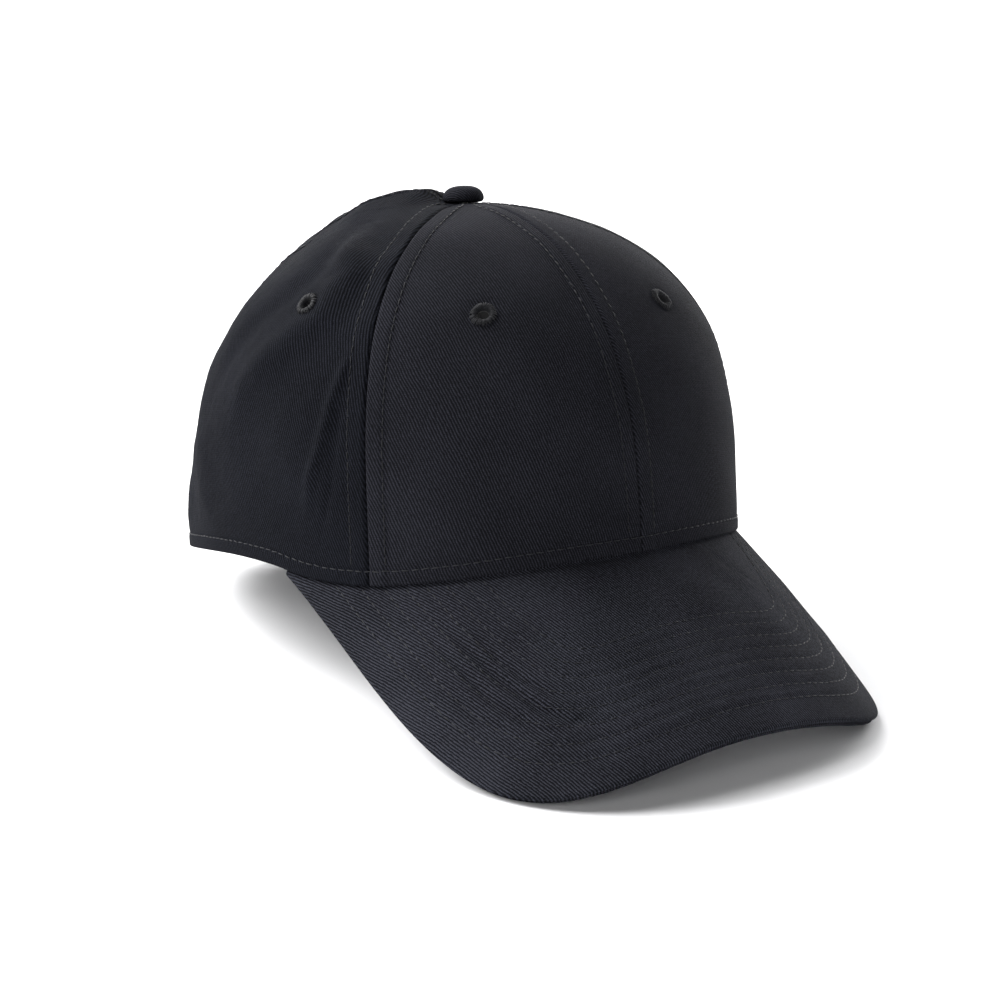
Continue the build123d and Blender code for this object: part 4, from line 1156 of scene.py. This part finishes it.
def visor_cover(name, node, material, top):
    """One cover: turned up behind the crown at its root, quilted, and rolled round into the edge seam."""
    total = VISOR_EDGE[0][-1]
    share = 0.999 * (2 * even_samples(0, total, 1.0, ((0, 10, 0.6), (total, 10, 0.6))) / total - 1)
    edge, inward = visor_edge(share)
    angle = share * math.radians(VISOR_END_ANGLE)
    root = np.stack(hem_outline(angle), axis=-1)
    root = root * (1 - (1.0 if top else 1.4) / np.linalg.norm(root, axis=-1, keepdims=True))
    split = VISOR_THICKNESS / 2
    inset = 0.85
    start = edge + inward * inset
    measured = np.concatenate([np.arange(0, 33, 0.6), np.arange(33, 71, 1.3)])
    t = (1 - measured[::-1] / measured[-1])[:, None, None]
    place = root + (start - root) * t
    x, y = place[..., 0], place[..., 1]
    distance, along = edge_distance(x, y)
    lift = visor_relief(distance, along, x, y, top) * smooth((distance - inset) / 1.5)
    turn = np.radians(np.linspace(90, -72, 13))[1:, None]
    roll = edge + inward * (inset * (1 - np.cos(turn)))[..., None]
    curled = split / 2 * (1 - np.sin(turn)) + 0 * share
    tucked = edge + inward * (inset + 0.03 * np.arange(1, len(turn) + 1)[::-1, None])[..., None]
    all_x = np.concatenate([x, roll[..., 0]])
    all_y = np.concatenate([y, roll[..., 1]])
    depth = np.concatenate([-lift, curled])
    inner_x = np.concatenate([x, tucked[..., 0]])
    inner_y = np.concatenate([y, tucked[..., 1]])
    uv = visor_flat(all_x, all_y)
    if top:
        outer, _ = visor_places(all_x, all_y, depth)
        inner, _ = visor_places(inner_x, inner_y, np.full(all_x.shape, split))
        climbs = np.array([2.8, 2.0, 1.2, 0.5])[:, None]
        outer = np.concatenate([crown(angle + 0 * climbs, climbs + 0 * angle, -0.95), outer])
        inner = np.concatenate([crown(angle + 0 * climbs, climbs + 0 * angle, -1.35), inner])
        uv = np.concatenate([uv[:1] + np.stack([0 * climbs + 0 * angle, climbs + 0 * angle], axis=-1), uv])
        outer, inner, uv = outer[::-1], inner[::-1], uv[::-1]
    else:
        outer, _ = visor_places(all_x, all_y, VISOR_THICKNESS - depth)
        inner, _ = visor_places(inner_x, inner_y, np.full(all_x.shape, split + 0.03))
    mesh = shell_mesh(name, outer, inner, uv)
    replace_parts(link(name, mesh, material), node)


def visor_covers():
    visor_cover("visor_cover_top_cloth", "visor_cover_top", LIT_VISOR_TWILL, True)
    visor_cover("visor_cover_under_cloth", "visor_cover_under", UNDER_TWILL, False)


def visor_row_path(k):
    """Level-frame x, y of one stitch row inside the edge, from crown to crown."""
    share = np.linspace(-1, 1, 2400)
    along = (share + 1) / 2 * VISOR_EDGE[0][-1]
    edge, inward = visor_edge(share)
    offset = FIRST_ROW + k * row_pitch(along)
    place = edge + inward * offset[:, None]
    x, y = place[:, 0], place[:, 1]
    distance, nearest = edge_distance(x, y)
    hem_x, hem_y = hem_outline(np.arctan2(x / HALF_WIDTH, -y / FRONT_REACH))
    outside = np.hypot(x, y) > np.hypot(hem_x, hem_y) - 0.4
    expected = FIRST_ROW + k * row_pitch(nearest)
    keep = (distance > expected - 0.3) & outside & (np.abs(np.arctan2(x, -y)) < math.radians(88))
    return x[keep], y[keep]


def visor_stitching():
    for face in ("top", "under"):
        rows = []
        for k in range(VISOR_ROWS):
            x, y = visor_row_path(k)
            distance, along = edge_distance(x, y)
            lift = visor_relief(distance, along, x, y, face == "top")
            if face == "top":
                points, normals = visor_places(x, y, -lift)
            else:
                points, normals = visor_places(x, y, VISOR_THICKNESS + lift)
                normals = -normals
            rows.append((points, normals))
        stitched("visor_stitching_" + face, rows, THREAD, seed=40 + len(face), lift=0.3, radius=0.15)


# ---------------------------------------------------------------- linings inside the crown

def lined(name, angle, climb, depth, thickness, material, middle, node, keep=None):
    """A plain inner layer at a depth below the crown's outer face, following the folds."""
    folds = soft_folds(angle, climb) * LINING_FOLLOW
    outer, inner = crown(angle, climb, folds - depth), crown(angle, climb, folds - depth - thickness)
    mesh = shell_mesh(name, outer, inner, flat(angle, climb, middle), keep)
    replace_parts(link(name, mesh, material), node)


def tape_share(angle, climb):
    """Share of a tape's width that is left where the tapes crowd together near the top."""
    return np.minimum(1, (full_climb(angle) - climb + 2.6) / 16)


def strip_grid(seam, low, high):
    """Grid of a tape centred on a seam, narrowing towards the top."""
    angle = math.radians(seam)
    climb = even_samples(low, high, 1.6)[:, None]
    width = TAPE_HALF_WIDTH * tape_share(angle, climb)
    across = np.linspace(-1, 1, 9)[None]
    return angle + across * width / spin_radius(angle, climb), climb + 0 * across


def linings(edge):
    for side, label in ((-1, "right"), (1, "left")):
        first, last = (0.0, FRONT_SEAM) if side > 0 else (-FRONT_SEAM, 0.0)
        start, stop = math.radians(first), math.radians(last)
        share = np.linspace(0, 1, 60)[None]
        t = even_samples(0, 1, 0.012)[:, None]
        angle = start + (stop - start) * share + 0 * t
        for _ in range(3):
            full = full_climb(angle)
            climb = 3.0 + (full - 7.0) * t
            inset = 2.4 / spin_radius(angle, climb)
            angle = start + inset + (stop - start - 2 * inset) * share
        lined("buckram_lining_" + label, angle, climb, BUCKRAM_DEPTH, BUCKRAM_THICKNESS, BUCKRAM,
              math.radians((first + last) / 2), "front_buckram_" + label,
              clear_of_eyelets(angle, climb, 3.4))
    tapes = (("front", 0.0, 9.0), ("front_left", FRONT_SEAM, 9.0), ("front_right", -FRONT_SEAM, 9.0),
             ("back", 180.0, edge[1][-1] + 8.0),
             ("back_left", BACK_SEAM, 3.0), ("back_right", -BACK_SEAM, 3.0))
    for label, seam, low in tapes:
        middle = math.radians(seam)
        high = full_climb(middle) - 4.0
        angle, climb = strip_grid(seam, low, high)
        depth = FRONT_TAPE_DEPTH if "front" in label else TAPE_DEPTH
        lined("tape_" + label, angle, climb, depth, TAPE_THICKNESS, SEAM_TAPE, middle,
              "seam_tape_" + label)
        rows = []
        for offset in (-TAPE_STITCH_OFFSET, TAPE_STITCH_OFFSET):
            c = np.linspace(low + 1, high - 6, 160)
            a = middle + offset * tape_share(middle, c) / spin_radius(middle, c)
            points = crown(a, c, soft_folds(a, c) * LINING_FOLLOW - (depth + TAPE_THICKNESS) - 0.02)
            rows.append((points, -rested_direction(crown_normal(a, c))))
        stitched("tape_stitching_" + label, rows, THREAD, seed=60 + int(abs(seam)))
    opening_binding(edge)


def opening_binding(edge):
    """Bias tape along the inside of the opening's edge."""
    knots = np.linspace(0, 1, len(edge[0]))
    at = np.linspace(0, 1, 300)
    path = np.interp(at, knots, edge[0]), np.interp(at, knots, edge[1])
    distances = np.linspace(BINDING_START, BINDING_WIDTH, 9)
    grid = [both_sides(*offset_from_opening(path, distance)) for distance in distances]
    angle, climb = np.array([g[0] for g in grid]), np.array([g[1] for g in grid])
    folds = soft_folds(angle, climb) * LINING_FOLLOW
    outer, inner = (crown(angle, climb, folds - depth) for depth in BINDING_DEPTHS)
    uv = np.stack([angle * BACK_RADIUS, climb], axis=-1)
    mesh = shell_mesh("opening_binding_tape", outer, inner, uv)
    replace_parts(link("opening_binding_tape", mesh, SEAM_TAPE), "opening_binding")


def sweatband_depth(angle):
    turn = np.degrees(np.abs(wrapped(angle)))
    first, last = SWEATBAND_DEEPENS
    low, high = SWEATBAND_DEPTHS
    return low + (high - low) * smooth((turn - first) / (last - first))


def sweatband():
    """Cotton band in a plain weave, folded over at its top edge and sewn through near its foot."""
    end = math.radians(SWEATBAND_END)
    turn = np.linspace(-end, end, 700)[None]
    finer = ((SWEATBAND_FOOT, 3, 0.25), (SWEATBAND_HEIGHT, 4, 0.2))
    rise = even_samples(SWEATBAND_FOOT, SWEATBAND_HEIGHT - 0.2, 0.8, finer)[:, None]
    angle, climb = turn + 0 * rise, rise + 0 * turn
    foot = smooth((climb - 0.5) / 12.0)
    puff = 0.35 * np.sin(np.clip((climb - 5) / (SWEATBAND_HEIGHT - 7), 0, 1) * math.pi)
    along = angle * BACK_RADIUS
    gather = 0.12 * np.sin(along / 3.4) * bump(climb - SWEATBAND_STITCHES[0], 3.5)
    gather = gather + 0.10 * np.sin(along / 5.3) * bump(climb - SWEATBAND_HEIGHT + 3, 3)
    hollow = sweatband_depth(angle) - SWEATBAND_DEPTHS[0]
    depth = SWEATBAND_DEPTHS[0] + hollow * (0.55 + 0.45 * foot) + puff * 0.6 + gather
    top = np.clip(1 - (SWEATBAND_HEIGHT - 0.2 - climb) / 0.6, 0, 1)
    rounded = 0.45 * (1 - np.sqrt(np.maximum(1 - top ** 2, 0)))
    fold = 0.3 * smooth((climb - SWEATBAND_HEIGHT + 8) / 0.8)
    outer = crown(angle, climb, -depth - rounded)
    inner = crown(angle, climb, -depth - 0.8 - fold + rounded)
    uv = np.stack([angle * HALF_WIDTH, climb], axis=-1)
    mesh = shell_mesh("sweatband_cloth", outer, inner, uv)
    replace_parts(link("sweatband_cloth", mesh, SWEATBAND), "sweatband")
    rows = []
    for height in SWEATBAND_STITCHES:
        a = turn[0]
        c = np.full(a.shape, height)
        d = depth[np.argmin(np.abs(rise[:, 0] - height))]
        extra = 0.8 + 0.3 * (height > 15) + 0.05
        rows.append((crown(a, c, -d - extra), -rested_direction(crown_normal(a, c))))
    stitched("sweatband_stitching", rows, THREAD, seed=90)


def inner_strips():
    """Forehead pad, the strip over the visor's seam allowance, and the blank care label."""
    def block(name, first, last, low, high, depth, thickness, material, node, step=2.0):
        count = max(6, int((last - first) * 1.4 / step))
        turn = np.linspace(math.radians(first), math.radians(last), count)[None]
        rise = even_samples(low, high, step / 2)[:, None]
        angle, climb = turn + 0 * rise, rise + 0 * turn
        lined(name, angle, climb, depth, thickness, material, math.radians((first + last) / 2), node)

    block("forehead_pad_foam", -50, 50, 5, 28, 2.1, 1.3, FOAM, "forehead_pad")
    block("visor_seam_strip_cloth", -70, 70, 0.6, 8, 1.5, 0.42, SEAM_TAPE, "visor_seam_strip")
    block("care_label_satin", 56, 74, 5, 23, 5.05, 0.18, SATIN, "care_label", 1.0)


# ---------------------------------------------------------------- strap and clasp

def on_arc(arc, radius, height):
    """Resting points at arc angles (degrees from straight back), mid-height radii and heights."""
    slope = math.tan(math.radians(STRAP_LEAN))
    arc, radius, height = np.broadcast_arrays(*[np.asarray(v, float) for v in (arc, radius, height)])
    r = radius - (height - STRAP_MIDDLE) * slope
    turn = np.radians(arc)
    return rested(np.stack([r * np.sin(turn), ARC_Y + r * np.cos(turn), height], axis=-1))


def arc_outward(arc):
    slope = math.radians(STRAP_LEAN)
    turn = np.radians(arc)
    level, up = math.cos(slope), np.full(turn.shape, math.sin(slope))
    return rested_direction(np.stack([np.sin(turn) * level, np.cos(turn) * level, up], axis=-1))


def strap_mesh(name, inner, outer):
    """A woven strip on the strap's circle, with soft edges and a rounded tail at its last end."""
    first, last = STRAP_ENDS
    arc = even_samples(0, abs(last - first), 0.6, ((0, 4, 0.15), (abs(last - first), 8, 0.12)))
    arc = first + np.sign(last - first) * arc
    across = np.sin(np.linspace(-1, 1, 33) * math.pi / 2)
    left = np.abs(arc - last) * math.radians(1) * STRAP_RADIUS
    squeezed = np.clip(1 - left / STRAP_TAIL, 0, 1)
    reach = np.sqrt(np.maximum(1 - squeezed ** 2.4, 0.002))
    height = STRAP_MIDDLE + (STRAP_HIGH - STRAP_LOW) / 2 * across[:, None] * reach[None]
    thin = 1 - np.abs(across) ** 14
    thickness = (outer - inner) * (0.45 + 0.55 * thin)[:, None]
    centre = (outer + inner) / 2
    top = on_arc(arc[None], centre + thickness / 2, height)
    under = on_arc(arc[None], centre - thickness / 2, height)
    along = arc[None] * math.radians(1) * STRAP_RADIUS
    uv = np.stack([np.broadcast_to(along, height.shape), height], axis=-1)
    return shell_mesh(name, top, under, uv)


def strap():
    outer = STRAP_RADIUS + STRAP_THICKNESS
    mesh = strap_mesh("strap_webbing", STRAP_RADIUS, outer)
    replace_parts(link("strap_webbing", mesh, BLACK_TWILL, "strap_band"), "strap")
    rows = []
    for height in (STRAP_LOW + STRAP_STITCH_INSET, STRAP_HIGH - STRAP_STITCH_INSET):
        arc = np.linspace(STRAP_ENDS[0] - 1, STRAP_ENDS[1] + 5, 500)
        for radius, sign in ((outer + 0.02, 1), (STRAP_RADIUS - 0.02, -1)):
            rows.append((on_arc(arc, radius, height), sign * arc_outward(arc)))
    stitched("strap_stitching", rows, THREAD, "strap_band", seed=70, lift=0.25, radius=0.16)


def smooth_metal(name, material, width=0.18):
    """A carried-over metal part gets softened edges and smooth shading, its own shape unchanged."""
    obj = nodes[name]
    obj.data.materials.clear()
    obj.data.materials.append(material)
    bevel = obj.modifiers.new("soft_edges", "BEVEL")
    bevel.width = width * MM
    bevel.segments = 2
    bevel.limit_method = "ANGLE"
    bevel.angle_limit = math.radians(40)
    bevel.use_clamp_overlap = True
    for polygon in obj.data.polygons:
        polygon.use_smooth = True
    normals = obj.modifiers.new("even_shading", "WEIGHTED_NORMAL")
    normals.keep_sharp = True


def clasp():
    for name in ("buckle_frame", "buckle_pin", "clasp_lever"):
        smooth_metal(name, CLASP_METAL)
    for name in ("button_shell", "button_rivet", "button_washer"):
        smooth_metal(name, BUTTON_STEEL, 0.1)
    board = nodes["visor_board"]
    board.data.materials.clear()
    board.data.materials.append(PLASTIC)


LOOP_CLOTH, LOOP_EASE, LOOP_HALF_HEIGHT = 0.5, 0.05, 8.4
BAR_ARC, BAR_THICKNESS = (-25.8, -27.6), 1.0
LOOP_EYE, LOOP_END = (-24.75, -31.0), -46.0
CLASP_CLEARANCE = 0.15


def buckle_loop():
    """A strip of cloth round the clasp's bar, both ends laid together and sewn on the strap's inner side."""
    near = STRAP_RADIUS + STRAP_THICKNESS + CLASP_CLEARANCE + LOOP_CLOTH / 2
    far = near + LOOP_CLOTH + BAR_THICKNESS + 2 * LOOP_EASE
    pair = near + LOOP_CLOTH
    middle, reach = (near + far) / 2, (far - near) / 2
    per_degree = math.radians(1) * middle
    turn = np.linspace(-90, 90, 13)[1:-1]
    nose = BAR_ARC[0] - LOOP_EASE / per_degree
    ahead = (LOOP_EYE[0] - nose - LOOP_CLOTH / 2 / per_degree)
    back = np.linspace(0, 1, 12)
    flat_arc = np.linspace(LOOP_EYE[1], LOOP_END, 24)
    slide = LOOP_EYE[1] + (nose - LOOP_EYE[1]) * back
    arc = np.concatenate([flat_arc[::-1], slide[1:], nose + ahead * np.cos(np.radians(turn)),
                          slide[::-1][:-1], flat_arc])
    drop = pair + (far - pair) * smooth(np.minimum(back[1:] * 1.7, 1))
    bend = middle + reach * np.sin(np.radians(turn))
    radius = np.concatenate([0 * flat_arc + near, 0 * back[1:] + near, bend, drop[::-1],
                             0 * flat_arc + pair])
    height = STRAP_MIDDLE + LOOP_HALF_HEIGHT * np.sin(np.linspace(-1, 1, 21) * math.pi / 2)[:, None]
    step_arc, step_radius = np.gradient(arc) * per_degree, np.gradient(radius)
    length = np.hypot(step_arc, step_radius)
    half = LOOP_CLOTH / 2 * 0.98
    side_arc, side_radius = step_radius / length * half / per_degree, -step_arc / length * half
    outer = on_arc(arc + side_arc, radius + side_radius, height)
    inner = on_arc(arc - side_arc, radius - side_radius, height)
    along = np.cumsum(length)
    uv = np.stack([along + 0 * height, height + 0 * along], axis=-1)
    mesh = shell_mesh("buckle_loop_cloth", inner, outer, uv)
    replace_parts(link("buckle_loop_cloth", mesh, SHADED_SIDE_TWILL), "buckle_loop")
    rows = []
    for at in (LOOP_EYE[1] - 1.2, LOOP_END + 1.2):
        height = np.linspace(-1, 1, 80) * (LOOP_HALF_HEIGHT - 1.2) + STRAP_MIDDLE
        rows.append((on_arc(at, pair + LOOP_CLOTH / 2 + 0.01, height), arc_outward(at + 0 * height)))
    stitched("buckle_loop_stitching", rows, THREAD, seed=78, lift=0.25, radius=0.15)


# ---------------------------------------------------------------- stage, light and camera

def stage():
    bpy.ops.mesh.primitive_plane_add(size=8.0, location=(0, 0, cad_low[2] - FLOOR_DROP))
    floor = bpy.context.object
    floor.name = "floor"
    n = Nodes("pale_floor")
    facing = n.node("ShaderNodeNewGeometry").outputs["Backfacing"]
    clear = n.node("ShaderNodeBsdfTransparent").outputs[0]
    n.finish(Base_Color=(0.86, 0.86, 0.87, 1), Roughness=0.9, Specular_IOR_Level=0.1)
    mix = n.node("ShaderNodeMixShader", {0: facing, 1: n.shader.outputs[0], 2: clear})
    n.tree.links.new(mix.outputs[0], n.tree.nodes["Material Output"].inputs["Surface"])
    floor.data.materials.append(n.material)
    floor.visible_shadow = False


# Soft studio lights: (bearing round the cap from the camera's side, clockwise seen from above as the
# camera looks, elevation, strength), in degrees and against a unit floor brightness
LIGHTS = (
    ("left_key", 260, 35, 1.50),
    ("left_rear_key", 220, 35, 0.62),
    ("rear_low_right", 150, 12, 0.57),
    ("rear_low", 180, 12, 0.59),
    ("rear_right", 140, 35, 0.38),
    ("front_left_fill", 345, 33, 0.27),
    ("high_left", 262, 62, 0.52),
    ("front_fill", 0, 15, 0.10),
    ("floor_glow_front", 15, -52, 0.22),
    ("floor_glow_back", 200, -40, 0.22),
)
LIGHT_SOFTNESS = 35.0


def lights():
    scene = bpy.context.scene
    world = bpy.data.worlds.new("white_room")
    world.use_nodes = True
    tree = world.node_tree
    background = tree.nodes["Background"]
    seen = tree.nodes.new("ShaderNodeLightPath").outputs["Is Camera Ray"]
    tree.links.new(seen, background.inputs["Strength"])
    background.inputs["Color"].default_value = (1.05, 1.05, 1.05, 1)
    scene.world = world
    azimuth = math.radians(CAMERA_AZIMUTH)
    toward = Vector((math.sin(azimuth), -math.cos(azimuth), 0))
    right = Vector((math.cos(azimuth), math.sin(azimuth), 0))
    for name, bearing, elevation, strength in LIGHTS:
        bearing, elevation = math.radians(bearing), math.radians(elevation)
        direction = (toward * math.cos(bearing) + right * math.sin(bearing)) * math.cos(elevation)
        direction.z = math.sin(elevation)
        data = bpy.data.lights.new(name, "SUN")
        data.energy = math.pi * strength
        data.angle = math.radians(LIGHT_SOFTNESS)
        obj = bpy.data.objects.new(name, data)
        obj.rotation_euler = direction.to_track_quat("Z", "Y").to_euler()
        scene.collection.objects.link(obj)
    scene.view_settings.view_transform = "Standard"
    scene.view_settings.look = "None"


def camera():
    azimuth, elevation = math.radians(CAMERA_AZIMUTH), math.radians(CAMERA_ELEVATION)
    roll = math.radians(CAMERA_ROLL)
    side_shift, up_shift = CAMERA_SHIFT
    back = np.array([math.sin(azimuth) * math.cos(elevation), -math.cos(azimuth) * math.cos(elevation),
                     math.sin(elevation)])
    right = np.array([math.cos(azimuth), math.sin(azimuth), 0])
    up = np.cross(back, right)
    right, up = right * math.cos(roll) + up * math.sin(roll), up * math.cos(roll) - right * math.sin(roll)
    target = np.array(CAMERA_TARGET) + right * side_shift + up * up_shift
    place = (target + back * CAMERA_DISTANCE) * MM
    data = bpy.data.cameras.new("camera")
    data.lens, data.sensor_width = CAMERA_LENS, CAMERA_SENSOR
    obj = bpy.data.objects.new("camera", data)
    bpy.context.scene.collection.objects.link(obj)
    matrix = Matrix.Identity(4)
    for column, axis in enumerate((right, up, back)):
        for row in range(3):
            matrix[row][column] = axis[row]
    matrix.translation = Vector(place)
    obj.matrix_world = matrix
    bpy.context.scene.camera = obj


# ---------------------------------------------------------------- build everything

opening = crown_panels()
seam_stitching(opening)
eyelets()
button_cover()
visor_covers()
visor_stitching()
linings(opening)
sweatband()
inner_strips()
strap()
clasp()
buckle_loop()
stage()
lights()
camera()
